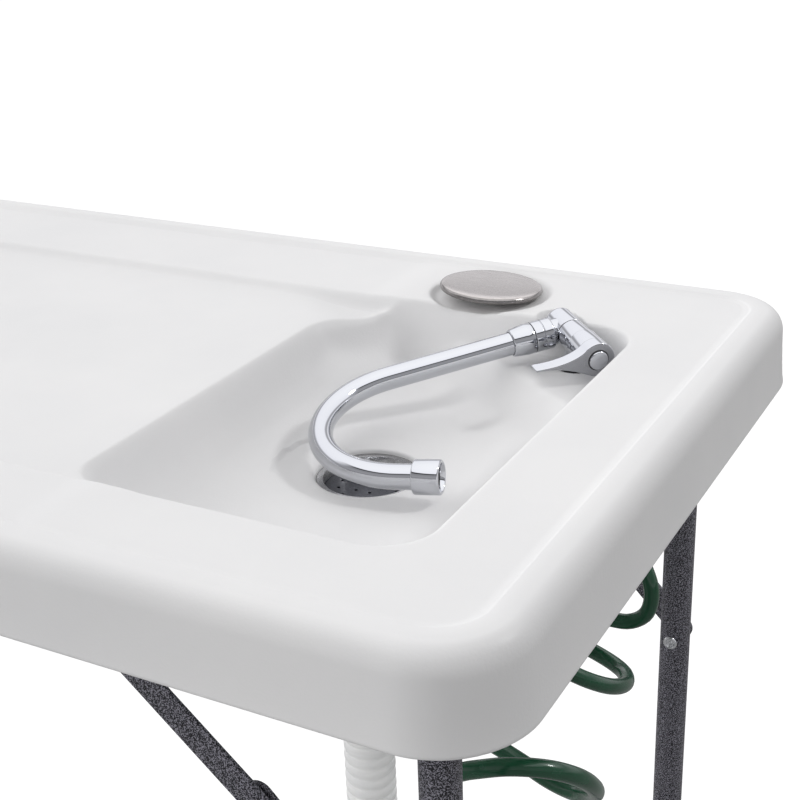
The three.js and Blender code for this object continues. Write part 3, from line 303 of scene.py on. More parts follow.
zincLook = {
    "colour": (0.74, 0.75, 0.77), "roughness": 0.15, "tints": ((0.78, 0.79, 0.81), (0.64, 0.65, 0.67)),
    "patches": (160, 4), "span": (0.35, 0.65), "sheen": (0.11, 0.2), "grain": 700, "bump": (0.12, 0.0003),
}
brassLook = {
    "colour": (0.58, 0.42, 0.19), "roughness": 0.3, "tints": ((0.60, 0.44, 0.20), (0.42, 0.29, 0.12)),
    "patches": (120, 4), "span": (0.35, 0.7), "sheen": (0.22, 0.42), "grain": 900, "bump": (0.08, 0.0002),
}
whiteLook = {
    "colour": (0.90, 0.90, 0.90), "roughness": 0.38, "tints": ((0.92, 0.92, 0.915), (0.86, 0.865, 0.87)),
    "patches": (45, 4), "span": (0.35, 0.7), "sheen": (0.32, 0.46), "grain": 500, "bump": (0.08, 0.0003),
}
greenLook = {
    "colour": (0.007, 0.060, 0.027), "roughness": 0.2, "tints": ((0.007, 0.060, 0.027), (0.012, 0.088, 0.042)),
    "patches": (38, 3), "span": (0.3, 0.7), "sheen": (0.18, 0.30), "grain": 160, "bump": (0.06, 0.0006),
}
rubberLook = {
    "colour": (0.022, 0.022, 0.024), "roughness": 0.68, "tints": ((0.020, 0.020, 0.022), (0.045, 0.045, 0.047)),
    "patches": (90, 4), "span": (0.35, 0.75), "sheen": (0.58, 0.8), "grain": 1100, "bump": (0.2, 0.0002),
}
finishes = {
    "moulded_top": mouldedPlastic(),
    "leg_paint": legPaint(),
    "zinc_steel": patched("zincPlate", zincLook, 1.0),
    "brushed_metal": brushedMetal(),
    "chrome": chromePlate(),
    "brass": patched("paleBrass", brassLook, 1.0),
    # the white hose plastic glows faintly: painted light that brightens the hose hanging in the shade under the table
    "white_plastic": patched("hosePlasticPaintedGlow", whiteLook, Specular_IOR_Level=0.45,
                             Emission_Color=(1, 1, 1, 1), Emission_Strength=0.10),
    "rubber": patched("blackRubber", rubberLook, Specular_IOR_Level=0.4),
    "green_plastic": patched("greenHose", greenLook, Specular_IOR_Level=0.35, Coat_Weight=0.4, Coat_Roughness=0.08),
}
print("stage: materials")

bodyOfNode = {name: body for body, names in frame["record"]["behaviour"]["bodies"].items() for name in names}
slotOfNode = {row["node"]: row["material_slot"] for row in frame["record"]["subparts"]}


# Rides on the node's body, stands for the node and takes its slot's finish, or the one given.
def dress(piece, node, finish=None):
    slot = slotOfNode[node]
    piece.data.materials.append(finish or finishes[slot])
    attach(piece, bodyOfNode[node])
    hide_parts(node)
    return piece


def addPiece(name, verts, faces, sharpAngle=40, turn=None):
    mesh = bpy.data.meshes.new(name)
    places = [tuple(float(c) * mm for c in v) for v in verts]
    mesh.from_pydata(places, [], [tuple(int(i) for i in f) for f in faces])
    if turn is not None:
        mesh.transform(turn)
    mesh.validate()
    mesh.update()
    mesh.shade_smooth()
    if sharpAngle:
        mesh.set_sharp_from_angle(angle=math.radians(sharpAngle))
    piece = addObject(name, mesh)
    return piece


def outward(piece):
    work = bmesh.new()
    work.from_mesh(piece.data)
    bmesh.ops.recalc_face_normals(work, faces=work.faces)
    work.to_mesh(piece.data)
    work.free()
    return piece


# A small round on every edge sharper than the angle.
def soften(piece, width, segments=2, angle=30):
    bevel = piece.modifiers.new("soften", "BEVEL")
    bevel.width = width * mm
    bevel.segments = segments
    bevel.limit_method = "ANGLE"
    bevel.angle_limit = math.radians(angle)
    bevel.harden_normals = False
    return piece


# Turns radius and height pairs round the Z axis.
def lathe(profile, sides, closed=False):
    verts, faces, rows = [], [], []
    for r, z in profile:
        if abs(r) < 1e-9:
            rows.append([len(verts)])
            verts.append((0, 0, z))
        else:
            rows.append(list(range(len(verts), len(verts) + sides)))
            for i in range(sides):
                a = 2 * math.pi * i / sides
                verts.append((r * math.cos(a), r * math.sin(a), z))
    pairs = list(zip(rows, rows[1:] + (rows[:1] if closed else [])))
    for one, two in pairs[: len(rows) if closed else len(rows) - 1]:
        for i in range(sides):
            j = (i + 1) % sides
            quad = [one[i % len(one)], one[j % len(one)], two[j % len(two)], two[i % len(two)]]
            face = []
            for q in quad:
                if q not in face:
                    face.append(q)
            if len(face) > 2:
                faces.append(face)
    return verts, faces


# Replaces each inner corner of a profile by a small arc.
def rounded(profile, radius, steps=4):
    made = [tuple(profile[0])]
    for before, here, after in zip(profile, profile[1:], profile[2:]):
        a, b, c = Vector(before), Vector(here), Vector(after)
        r = min(radius, (a - b).length * 0.45, (c - b).length * 0.45)
        if r < 1e-6:
            made.append(tuple(here))
            continue
        start = b + (a - b).normalized() * r
        end = b + (c - b).normalized() * r
        for i in range(steps + 1):
            t = i / steps
            made.append(tuple(start * (1 - t) ** 2 + b * 2 * t * (1 - t) + end * t ** 2))
    made.append(tuple(profile[-1]))
    return made


# A tube along a line; with an inner radius it is open at both ends.
def tubeAlong(points, radius, sides, inner=None, side=None):
    points = [Vector(p) for p in points]
    tangents = []
    for i in range(len(points)):
        before, after = points[max(i - 1, 0)], points[min(i + 1, len(points) - 1)]
        tangents.append((after - before).normalized())
    across = Vector(side) if side is not None else tangents[0].orthogonal().normalized()
    verts, frames = [], []
    for tangent in tangents:
        across = (across - tangent * across.dot(tangent)).normalized()
        frames.append((across.copy(), tangent.cross(across)))
    radii = [radius] if inner is None else [radius, inner]
    for r in radii:
        for point, (u, v) in zip(points, frames):
            for k in range(sides):
                a = 2 * math.pi * k / sides
                verts.append(point + u * (r * math.cos(a)) + v * (r * math.sin(a)))
    faces = []
    count = len(points)
    for layer in range(len(radii)):
        base = layer * count * sides
        for i in range(count - 1):
            for k in range(sides):
                j = (k + 1) % sides
                one, two = base + i * sides, base + (i + 1) * sides
                quad = [one + k, one + j, two + j, two + k]
                faces.append(quad if layer == 0 else quad[::-1])
    if inner is None:
        faces.append(list(range(sides))[::-1])
        faces.append([(count - 1) * sides + k for k in range(sides)])
    else:
        shift = count * sides
        for end in (0, count - 1):
            for k in range(sides):
                j = (k + 1) % sides
                quad = [end * sides + k, shift + end * sides + k, shift + end * sides + j, end * sides + j]
                faces.append(quad if end == 0 else quad[::-1])
    return verts, faces


# A copy of a CAD node with its flat faces merged and its edges rounded.
def copyOfNode(name, newName, bevel=0.0, segments=2, dissolve=2.0):
    source = frame["nodes"][name]
    mesh = source.data.copy()
    mesh.materials.clear()
    work = bmesh.new()
    work.from_mesh(mesh)
    bmesh.ops.remove_doubles(work, verts=work.verts, dist=0.00002)
    bmesh.ops.dissolve_limit(work, angle_limit=math.radians(dissolve), verts=work.verts, edges=work.edges)
    work.to_mesh(mesh)
    work.free()
    mesh.shade_smooth()
    mesh.set_sharp_from_angle(angle=math.radians(32))
    piece = addObject(newName, mesh)
    if bevel:
        soften(piece, bevel, segments)
    return piece


# Supply hose: its middle line from the tap's inlet, through loose curls, to the coupling in its clip
supply = {
    "radius": 6.25,
    "route": [
        (432.3, 157.3, 843.6), (431.7, 158, 831.6), (431.2, 159.2, 820), (433.5, 159.6, 805), (442, 158, 791),
        (455.5, 155, 781.5), (472, 151, 776), (487.6, 146.3, 769.7), (502.7, 140.7, 753.2), (510, 137, 734),
        (506.7, 134.5, 716.4), (494.1, 132.5, 707.2), (475.3, 129.8, 707), (454, 124.5, 712), (432, 117, 717),
        (412, 111, 712), (401, 109, 699), (403, 113, 685), (416, 120, 677.5), (433, 126, 675), (452.1, 130.3, 674.9),
        (476.4, 127.9, 670.1), (496.8, 113.8, 671.3), (507, 89, 679), (504.5, 61.5, 692.7), (490.2, 40.2, 709.1),
        (467.6, 30.1, 723.4), (442.3, 31.1, 730.9), (421, 38, 731), (405, 49, 719), (402, 60, 701), (410, 67, 684),
        (425, 66, 673), (441.7, 57.2, 675.4), (453.3, 40.1, 684.8), (460, 17, 700), (462.2, -9.1, 716.4),
        (458, -33, 731), (443, -51, 742), (421, -58, 743), (404, -52, 731), (400, -40, 713), (409, -30, 696),
        (427, -25, 684.5), (446, -21.5, 675.5), (465.7, -19.2, 665.9), (489.6, -19.5, 656.3), (513.2, -28.1, 660),
        (531.3, -44.4, 676.8), (540, -66, 701), (537.1, -88.2, 724.4), (523, -107.4, 739.6), (500.8, -119.5, 742.6),
        (475.9, -122.1, 733.5), (457, -118, 722), (440, -109, 719), (425.5, -106, 727), (417, -113, 743),
        (414.5, -127, 760), (415.5, -141, 776), (417.5, -149, 789), (418, -150, 800), (418, -150, 810)
    ],
}
# Where the tap stands, how it is turned, and the height of its barrel
tapPlace = {"x": 436.6, "y": 153.1, "z": 912, "yaw": -44, "lean": 5, "barrel": 21.6}
tapTurn = (shift(tapPlace["x"], tapPlace["y"], tapPlace["z"]) @ Matrix.Rotation(math.radians(tapPlace["yaw"]), 4, "Z")
           @ Matrix.Rotation(math.radians(tapPlace["lean"]), 4, "Y"))


# A centripetal spline through the rows, as a function of 0 to 1.
def throughPoints(rows):
    rows = [Vector(r) for r in rows]

    def at(share):
        place = (len(rows) - 1) * share
        i = min(int(math.floor(place)), len(rows) - 2)
        w = place - i
        p1, p2 = rows[i], rows[i + 1]
        p0 = rows[i - 1] if i > 0 else rows[0] * 2 - rows[1]
        p3 = rows[i + 2] if i + 2 < len(rows) else rows[-1] * 2 - rows[-2]
        d0, d1, d2 = ((b - a).length_squared ** 0.25 for a, b in ((p0, p1), (p1, p2), (p2, p3)))
        d1 = d1 if d1 > 1e-4 else 1.0
        d0 = d0 if d0 > 1e-4 else d1
        d2 = d2 if d2 > 1e-4 else d1
        t1 = ((p1 - p0) / d0 - (p2 - p0) / (d0 + d1) + (p2 - p1) / d1) * d1
        t2 = ((p2 - p1) / d1 - (p3 - p1) / (d1 + d2) + (p3 - p2) / d2) * d1
        c2 = (p2 - p1) * 3 - t1 * 2 - t2
        c3 = (p1 - p2) * 2 + t1 + t2
        return p1 + t1 * w + c2 * w ** 2 + c3 * w ** 3

    return at


# Even steps of about 4 mm along the route, and its length.
def supplyRoute():
    route = throughPoints(supply["route"])
    fine = [route(k / 4000) for k in range(4001)]
    length = sum((b - a).length for a, b in zip(fine, fine[1:]))
    count = int(length / 4)
    made, walked, target = [fine[0]], 0.0, 1
    for a, b in zip(fine, fine[1:]):
        walked += (b - a).length
        if walked >= length * target / count and target < count:
            made.append(b)
            target += 1
    made.append(fine[-1])
    return made, length


def makeSupplyHose():
    points, length = supplyRoute()
    data = bpy.data.curves.new("supplyHose", "CURVE")
    data.dimensions = "3D"
    data.bevel_depth = supply["radius"] * mm
    data.bevel_resolution = 8
    data.use_fill_caps = True
    line = data.splines.new("POLY")
    line.points.add(len(points) - 1)
    for spot, p in zip(line.points, points):
        spot.co = (*(p * mm), 1)
    line.use_smooth = True
    hose = addObject("supplyHose", data)
    dress(hose, "supply_hose")
    return hose, points, length


coupling = {"radius": 12.5, "gap": 0.3, "flutes": 24}


# A screw coupling: a plain ferrule below and a knurled swivel nut above, open at the top.
def makeCoupling():
    x, y, z = supply["route"][-1]
    base = z + coupling["gap"]
    r = coupling["radius"]
    profile = rounded([(0, base), (r * 0.72, base), (r * 0.72, base + 16), (r, base + 16), (r, base + 34),
                       (r * 0.7, base + 34), (r * 0.7, base + 17), (0, base + 17)], 0.8, 3)
    verts, faces = lathe(profile, 48)
    made = []
    for vx, vy, vz in verts:
        d = math.hypot(vx, vy)
        grip = 1.0
        if d > r * 0.93 and base + 18 < vz < base + 32:
            grip = 1 - 0.03 * (0.5 + 0.5 * math.cos(coupling["flutes"] * math.atan2(vy, vx)))
        made.append((vx * grip + x, vy * grip + y, vz))
    piece = outward(addPiece("hoseCoupling", made, faces, 40))
    return dress(piece, "hose_coupling")


drainTube = {
    "x": 349, "y": -21, "top": 843.0, "ribs": 50, "pitch": 9.5, "cuff": 14,
    "crest": 20.0, "valley": 17.4, "bore": 16.2, "drift": 11,
}


# Ribbed hose: round crests and narrow valleys, leaning a little as it hangs.
def makeDrainHose():
    x, y, top, ribs, pitch, cuff = (drainTube[k] for k in ("x", "y", "top", "ribs", "pitch", "cuff"))
    crest, valley, bore = drainTube["crest"], drainTube["valley"], drainTube["bore"]
    bottom = top - cuff * 2 - ribs * pitch
    share = [(0.0, 0.0), (0.08, 0.0), (0.16, 0.25), (0.26, 0.8), (0.38, 1.0),
             (0.62, 1.0), (0.74, 0.8), (0.84, 0.25), (0.92, 0.0)]
    rows = [(bore, bottom), (valley, bottom), (valley, bottom + cuff)]
    for i in range(ribs):
        for t, s in share:
            rows.append((valley + (crest - valley) * s, bottom + cuff + (i + t) * pitch))
    rows += [(valley, top - cuff), (valley, top), (bore, top)]

    def lean(z):
        t = min(max((top - cuff * 2 - z) / 170, 0), 1)
        return -drainTube["drift"] * t * t * (3 - 2 * t)

    rows += [(bore, top - k * (top - bottom) / 30) for k in range(1, 30)]
    verts, faces = lathe(rows, 48, closed=True)
    made = [(vx + x + lean(vz), vy + y, vz) for vx, vy, vz in verts]
    piece = outward(addPiece("drainHose", made, faces, 0))
    dress(piece, "drain_hose")
    path = [((x + lean(z)) * mm, y * mm, z * mm) for z in np.linspace(top, bottom, 60)]
    return piece, path, (top - bottom)


supplyHose, supplyPoints, supplyLength = makeSupplyHose()
hoseCoupling = makeCoupling()
drainHose, drainPath, drainLength = makeDrainHose()
print(f"stage: hoses, supply {supplyLength:.0f} mm, drain {drainLength:.0f} mm")

# Moulded top; each rectangle is x from and to, y from and to, and its corner radius
top = {
    "halfLength": 575, "halfDepth": 300, "corner": 60, "patchInset": 33.4,
    "recess": (-505, 300, -205, 172, 26),
    "basin": (230, 480, -205, 172, 34),
    "basinFoot": (222, 488, -204, 182, 34),
    "shelfEdge": ((312, 172), (388, 137), (480, 58)),
    "tapSeat": 15.6, "tapTrough": 14.6, "tapReach": 38.5,
    "drain": (349, -21), "drainCircle": 42, "drainSquare": 62,
    "drainRim": [(42, 880.1), (40.6, 880), (39.7, 879.85), (39, 879.5), (38.5, 879), (38.2, 878.3), (38.05, 877.4),
                 (38, 875.2), (37.8, 875), (34.8, 875), (34.6, 874.7)],
    "holeFoot": [(35.2, 872), (34.6, 872.4)],
    "fixedPart": (480, 200), "underInset": 6.6,
    "pocket": (337, 214.6),
    "notch": (322, 352, 138, 190, 9),
    "spill": (192.7, 170.1, 64.7),
}


# A smooth curve through points that never overshoots between them.
def monotone(xs, ys):
    xs, ys = np.array(xs, float), np.array(ys, float)
    h = np.diff(xs)
    d = np.diff(ys) / h
    m = np.zeros(len(xs))
    for i in range(1, len(xs) - 1):
        if d[i - 1] * d[i] > 0:
            w1, w2 = 2 * h[i] + h[i - 1], h[i] + 2 * h[i - 1]
            m[i] = (w1 + w2) / (w1 / d[i - 1] + w2 / d[i])
    m[0], m[-1] = d[0], d[-1]

    def at(x):
        x = np.clip(x, xs[0], xs[-1])
        i = np.clip(np.searchsorted(xs, x) - 1, 0, len(h) - 1)
        t = (x - xs[i]) / h[i]
        return (ys[i] * (1 + 2 * t) * (1 - t) ** 2 + m[i] * h[i] * t * (1 - t) ** 2
                + ys[i + 1] * t * t * (3 - 2 * t) + m[i + 1] * h[i] * t * t * (t - 1))

    return at


# How far inside a rectangle with round corners a point lies.
def insetFrom(x, y, box, left=None):
    x0, x1, y0, y1, r = box
    fromLeft = x - x0
    if left is not None:
        fromLeft = np.where(fromLeft > 0, left(np.maximum(fromLeft, 0)), fromLeft)
    a = np.minimum(fromLeft, x1 - x)
    b = np.minimum(y - y0, y1 - y)
    return r - np.hypot(np.maximum(r - a, 0), np.maximum(r - b, 0)) - np.minimum(np.maximum(r - a, r - b), 0)


def softLower(a, b, k):
    h = np.maximum(k - np.abs(a - b), 0) / k
    return np.minimum(a, b) - h * h * k / 4


def softUpper(a, b, k):
    return -softLower(-a, -b, k)


def step01(t):
    t = np.clip(t, 0, 1)
    return t * t * (3 - 2 * t)


# Section curves: the distance inwards from an edge, and the height or depth there
recessWall = monotone([-6, -2.5, 0, 2.5, 5, 8, 60], [0, 0.15, 1.4, 4.4, 6.9, 7.9, 8])
basinWall = monotone([-6, -4, -2.2, -0.8, 0, 0.9, 3, 6, 12, 15, 20, 26, 34, 120],
                     [940, 939.8, 939, 937.2, 935, 931.6, 925, 915, 898, 890.5, 885, 882.9, 882.1, 881.2])
leftWall = monotone([0, 3, 7.2, 14, 22, 32, 46, 66, 90, 400], [0, 2.1, 4.9, 9.4, 13.2, 17.4, 22.5, 30, 46, 356])
shelfFace = monotone([-90, -40, -26, -14, -5, -1.5, 0.6, 3, 6, 200],
                     [840, 876, 885, 896, 906.2, 909.6, 911.2, 911.9, 912, 912])
pocketWall = monotone([0, 43, 46, 48.5, 51, 54, 57], [935, 935, 935.3, 936.8, 938.8, 939.8, 940.3])
notchWall = monotone([-12, -8.5, -5, -2, 1.5, 8], [940.6, 939.8, 937.8, 935.6, 934.6, 934.4])
drainDish = monotone([0, 42, 56, 62, 70, 90], [880, 880.1, 880.2, 880.9, 881.6, 890])


# The bowed front edge of the tap shelf: its y and its slope at x.
def shelfEdge(x):
    t = np.linspace(-0.2, 1.2, 60)
    ex, ey = ((1 - t) ** 2 * a + 2 * t * (1 - t) * b + t * t * c for a, b, c in zip(*top["shelfEdge"]))
    slope = np.gradient(ey, ex)
    return np.interp(x, ex, ey), np.interp(x, ex, slope)


def topHeight(x, y):
    # the work surface dips towards the basin's rear left corner, where the wall is drawn in
    dip = step01(((x - 197) * 0.617 + (y - 146) * 0.787 + 4) / 48) * (1 - step01((x - 252) / 30))
    recess = 940 - recessWall(insetFrom(x, y, top["recess"])) * (1 + 0.75 * dip)
    sx, sy, spillRadius = top["spill"]
    past = np.hypot(x - sx, y - sy) - spillRadius
    past = np.where(past > 0, leftWall(np.maximum(past, 0)), past)
    basin = basinWall(softLower(insetFrom(x, y, top["basin"], leftWall), past, 14))
    edge, slope = shelfEdge(x)
    shelf = shelfFace((y - edge) / np.hypot(1, slope))
    shelf = np.where(x > 290, shelf, 840)
    basin = np.where(basin < 937, softUpper(basin, shelf, 12), basin)
    z = softLower(recess, basin, 3 + 6 * step01((270 - x) / 30))
    px, py = top["pocket"]
    z = softLower(z, pocketWall(np.hypot(x - px, y - py)), 1.5)
    notch = notchWall(insetFrom(x, y, top["notch"]))
    z = softLower(z, np.where(y < 205, notch, 941), 2.5)
    dx, dy = top["drain"]
    fromDrain = np.hypot(x - dx, y - dy)
    z = np.where(fromDrain < 70, softLower(z, drainDish(fromDrain), 0.6), z)
    # seat under the tap, square to its column, and room for the end of the barrel
    away = np.hypot(x - tapPlace["x"], y - tapPlace["y"])
    normal = tapTurn.to_3x3() @ Vector((0, 0, 1))
    plane = tapPlace["z"] - ((x - tapPlace["x"]) * normal.x + (y - tapPlace["y"]) * normal.y) / normal.z
    seat = 1 - step01((away - top["tapSeat"]) / 3)
    z = z * (1 - seat) + (plane - 1.4) * seat
    along = tapTurn.to_3x3() @ Vector((1, 0, 0))
    flat = Vector((along.x, along.y)).normalized()
    axis = tapTurn @ (Vector((0, 0, tapPlace["barrel"])) * mm) / mm
    lengthwise = (x - axis.x) * flat.x + (y - axis.y) * flat.y
    across = np.abs(-(x - axis.x) * flat.y + (y - axis.y) * flat.x)
    over = np.maximum(-top["tapReach"] - lengthwise, 0)
    reach = np.hypot(across, over)
    wide = top["tapTrough"]
    trough = axis.z + lengthwise * along.z - np.sqrt(np.maximum(wide ** 2 - np.minimum(reach, wide) ** 2, 0))
    trough = np.where((reach < wide) & (lengthwise < 0), trough, 950)
    return softLower(z, trough, 1.2)


def underHeight(x, y):
    foot = insetFrom(x, y, top["basinFoot"])
    return 900 - 28 * step01((foot + 1) / 5)


def gridLines(parts):
    made = []
    for start, end, step in parts:
        count = max(int(round((end - start) / step)), 1)
        made += [start + (end - start) * k / count for k in range(count)]
    return np.array(made + [parts[-1][1]])


def makeTop():
    hl, hd = top["halfLength"], top["halfDepth"]
    bx, by = hl - top["patchInset"], hd - top["patchInset"]
    dx, dy = top["drain"]
    q = top["drainSquare"]
    xs = gridLines([(-bx, -515, 3), (-515, -495, 1.6), (-495, 180, 12), (180, dx - q, 2), (dx - q, dx + q, 2),
                    (dx + q, 500, 1.8), (500, 515, 5), (515, bx, 3)])
    ys = gridLines([(-by, -240, 3), (-240, -214, 4), (-214, -190, 1.6), (-190, dy - q, 3), (dy - q, dy + q, 2.4),
                    (dy + q, 130, 2), (130, 182, 1.6), (182, 240, 2.2), (240, by, 2.6)])
    X, Y = np.meshgrid(xs, ys, indexing="ij")
    nx, ny = X.shape
    # the four corners of the grid are drawn in onto the round corners
    cx, cy, r = hl - top["corner"], hd - top["corner"], top["corner"] - top["patchInset"]
    u = np.clip((np.abs(X) - cx) / r, 0, 1)
    v = np.clip((np.abs(Y) - cy) / r, 0, 1)
    inCorner = (u > 0) & (v > 0)
    GX = np.where(inCorner, np.sign(X) * (cx + r * u * np.sqrt(1 - v * v / 2)), X)
    GY = np.where(inCorner, np.sign(Y) * (cy + r * v * np.sqrt(1 - u * u / 2)), Y)
    topZ = topHeight(GX, GY)
    border = ([(i, 0) for i in range(nx - 1)] + [(nx - 1, j) for j in range(ny - 1)]
              + [(i, ny - 1) for i in range(nx - 1, 0, -1)] + [(0, j) for j in range(ny - 1, 0, -1)])
    i0, i1 = (int(np.argmin(np.abs(xs - edge))) for edge in (dx - q, dx + q))
    j0, j1 = (int(np.argmin(np.abs(ys - edge))) for edge in (dy - q, dy + q))
    square = ([(i, j0) for i in range(i0, i1)] + [(i1, j) for j in range(j0, j1)]
              + [(i, j1) for i in range(i1, i0, -1)] + [(i0, j) for j in range(j1, j0, -1)])
    verts, faces = [], []

    # past the fixed part, the lower grid is drawn in to fit inside the skirt
    def drawnIn(values, fixed, border, squeeze):
        far = np.abs(values)
        moved = fixed + (far - fixed) * (border - squeeze - fixed) / (border - fixed)
        return np.where(far > fixed, np.sign(values) * moved, values)

    def addGrid(zs, flip, squeeze):
        base = len(verts)
        sx, sy = (drawnIn(*row, squeeze) for row in zip((GX, GY), top["fixedPart"], (bx, by)))
        verts.extend(zip(sx.ravel(), sy.ravel(), zs.ravel()))
        for i in range(nx - 1):
            for j in range(ny - 1):
                if i0 <= i < i1 and j0 <= j < j1:
                    continue
                one, two = base + i * ny + j, base + (i + 1) * ny + j
                quad = [one, two, two + 1, one + 1]
                faces.append(quad[::-1] if flip else quad)
        return base

    def band(one, two, flip):
        n = len(one)
        for k in range(n):
            m = (k + 1) % n
            quad = [one[k], one[m], two[m], two[k]]
            faces.append(quad[::-1] if flip else quad)

    # from the square in the grid to a circle, then ring by ring down into the hole
    def drainBands(base, height, circle, rim, flip):
        rows = [[base + i * ny + j for i, j in square]]
        steps = [(t, None, None) for t in (0.2, 0.4, 0.58, 0.74, 0.88)] + [(1, r, z) for r, z in rim]
        for t, radius, z in steps:
            row = []
            for i, j in square:
                p = Vector((xs[i] - dx, ys[j] - dy))
                at = p.lerp(p.normalized() * circle, t) if radius is None else p.normalized() * radius
                row.append(len(verts))
                px, py = at.x + dx, at.y + dy
                verts.append((px, py, float(height(np.array(px), np.array(py))) if z is None else z))
            band(rows[-1], row, flip)
            rows.append(row)
        return rows[-1]

    upper = addGrid(topZ, False, 0)
    upperHole = drainBands(upper, topHeight, top["drainCircle"], top["drainRim"], False)
    lower = addGrid(underHeight(GX, GY), True, top["underInset"])
    lowerHole = drainBands(lower, underHeight, top["drainCircle"], top["holeFoot"], True)
    band(upperHole, lowerHole, False)
    # outer rings: raised border, round edge, flared skirt, and up the inside of the skirt
    rings = [(30.4, 940), (29.7, 940.12), (29.1, 940.5), (28.4, 940.82), (27.2, 940.95), (24, 941), (21, 940.9),
             (18.8, 940.7)]
    for k in range(13):
        a = math.pi / 2 * (1 - k / 12)
        rings.append((3 + 14.4 * (1 - math.cos(a)), 924 + 16.5 * math.sin(a)))
    rings += [(2.7, 915), (1.8, 900), (0.8, 887), (0.2, 883.4), (0, 882.2), (0.3, 881), (1.1, 880.2), (2.2, 880),
              (16, 880), (31, 880), (33, 880.6), (34, 882), (36, 890), (38.2, 897), (39.2, 899.2)]
    previous = [upper + i * ny + j for i, j in border]
    points = [Vector((float(GX[i, j]), float(GY[i, j]))) for i, j in border]
    for inset, z in rings:
        row = []
        for p in points:
            c = Vector((math.copysign(cx, p.x), math.copysign(cy, p.y)))
            if abs(p.x) > cx and abs(p.y) > cy:
                out = (p - c).normalized()
                at = c + out * (top["corner"] - inset)
            elif abs(p.x) > bx - 0.01:
                at = Vector((math.copysign(hl - inset, p.x), p.y))
            else:
                at = Vector((p.x, math.copysign(hd - inset, p.y)))
            row.append(len(verts))
            verts.append((at.x, at.y, z))
        band(previous, row, True)
        previous = row
    band(previous, [lower + i * ny + j for i, j in border], True)
    piece = addPiece("mouldedTop", verts, faces, 0)
    # loose points go, and the flat underside needs few faces
    work = bmesh.new()
    work.from_mesh(piece.data)
    loose = [v for v in work.verts if not v.link_faces]
    bmesh.ops.delete(work, geom=loose, context="VERTS")
    under = [f for f in work.faces if f.normal.z < -0.99 and f.calc_center_median().z < 0.9005]
    edges = list({e for f in under for e in f.edges})
    corners = list({v for f in under for v in f.verts})
    bmesh.ops.dissolve_limit(work, angle_limit=math.radians(0.4), verts=corners, edges=edges)
    work.to_mesh(piece.data)
    work.free()
    piece.data.shade_smooth()
    return dress(piece, "tabletop")


mouldedTop = makeTop()
print("stage: moulded top", len(mouldedTop.data.polygons), "faces")

# Copied nodes and the width of their rounded edges
cadCopies = {
    "drain_locknut": 0.8, "hose_clamp": 0.4, "tap_locknut": 0.6, "supply_nut": 0.6, "hose_clip": 0.4,
    "right_crossbar": 0.2, "left_crossbar": 0.2,
}
drainSteel = brushedMetal("drainSteel", (0.40, 0.40, 0.405), 0.2, (500, 500, 60))
# the strainer's near-black colour is painted shade for the deep shade inside the drain hole
shadedStrainerSteel = brushedMetal("shadedStrainerSteel", (0.075, 0.078, 0.09), 0.32, (500, 500, 60))


# A pressed cup below the basin floor, with a thin flange and a tail for the hose.
def makeDrainCup():
    profile = [(32.6, 876.4), (33.0, 876.8), (37.3, 876.8), (37.7, 876.3), (37.7, 875.3), (34.3, 875.3), (34.3, 855),
               (33.4, 853.4), (16.2, 844.2), (14.8, 842.4), (14.8, 807.3), (12.6, 807.3), (12.6, 843.6), (14, 846),
               (30.6, 853.9), (32, 855), (32.6, 857)]
    verts, faces = lathe(profile, 96, closed=True)
    dx, dy = top["drain"]
    made = [(x + dx, y + dy, z) for x, y, z in verts]
    piece = outward(addPiece("drainCup", made, faces, 45))
    return dress(piece, "drain_cup", drainSteel)


strainer = {"low": 867.5, "high": 868.9, "radius": 32.2, "hole": 1.3, "ringStep": 11, "rings": 3}


def circle(radius, count, cx=0.0, cy=0.0):
    turns = (2 * math.pi * i / count for i in range(count))
    return [(cx + radius * math.cos(a), cy + radius * math.sin(a)) for a in turns]


# A flat disc across the cup with rings of small round holes.
def makeStrainer():
    dx, dy = top["drain"]
    low, high, hole = strainer["low"], strainer["high"], strainer["hole"]
    centres = [spot for k in range(strainer["rings"]) for spot in circle(strainer["ringStep"] * k, max(6 * k, 1))]
    loops = [circle(strainer["radius"], 64)] + [circle(hole, 12, cx, cy) for cx, cy in centres]
    flat, edges = [], []
    for loop in loops:
        base = len(flat)
        flat += [Vector(p) for p in loop]
        edges += [(base + i, base + (i + 1) % len(loop)) for i in range(len(loop))]
    points, _, faces, *_ = delaunay_2d_cdt(flat, edges, [], 0, 1e-6)
    kept = []
    for face in faces:
        mid = sum((points[i] for i in face), Vector((0, 0))) / len(face)
        if all((mid - Vector(c)).length > hole * 0.96 for c in centres):
            kept.append(list(face))
    count = len(points)
    verts = [(p.x + dx, p.y + dy, high) for p in points] + [(p.x + dx, p.y + dy, low) for p in points]
    seen = dict.fromkeys((a, b) for face in kept for a, b in zip(face, face[1:] + face[:1]))
    rim = [(a, b) for a, b in seen if (b, a) not in seen]
    faces = kept + [[i + count for i in reversed(face)] for face in kept]
    faces += [[b, a, a + count, b + count] for a, b in rim]
    piece = outward(addPiece("drainStrainer", verts, faces, 40))
    return dress(piece, "drain_strainer", shadedStrainerSteel)


stopper = {"height": 942.1, "lean": 4.8, "leanAxis": (-0.77, 0.64, 0), "edgeFrom": 41.2}
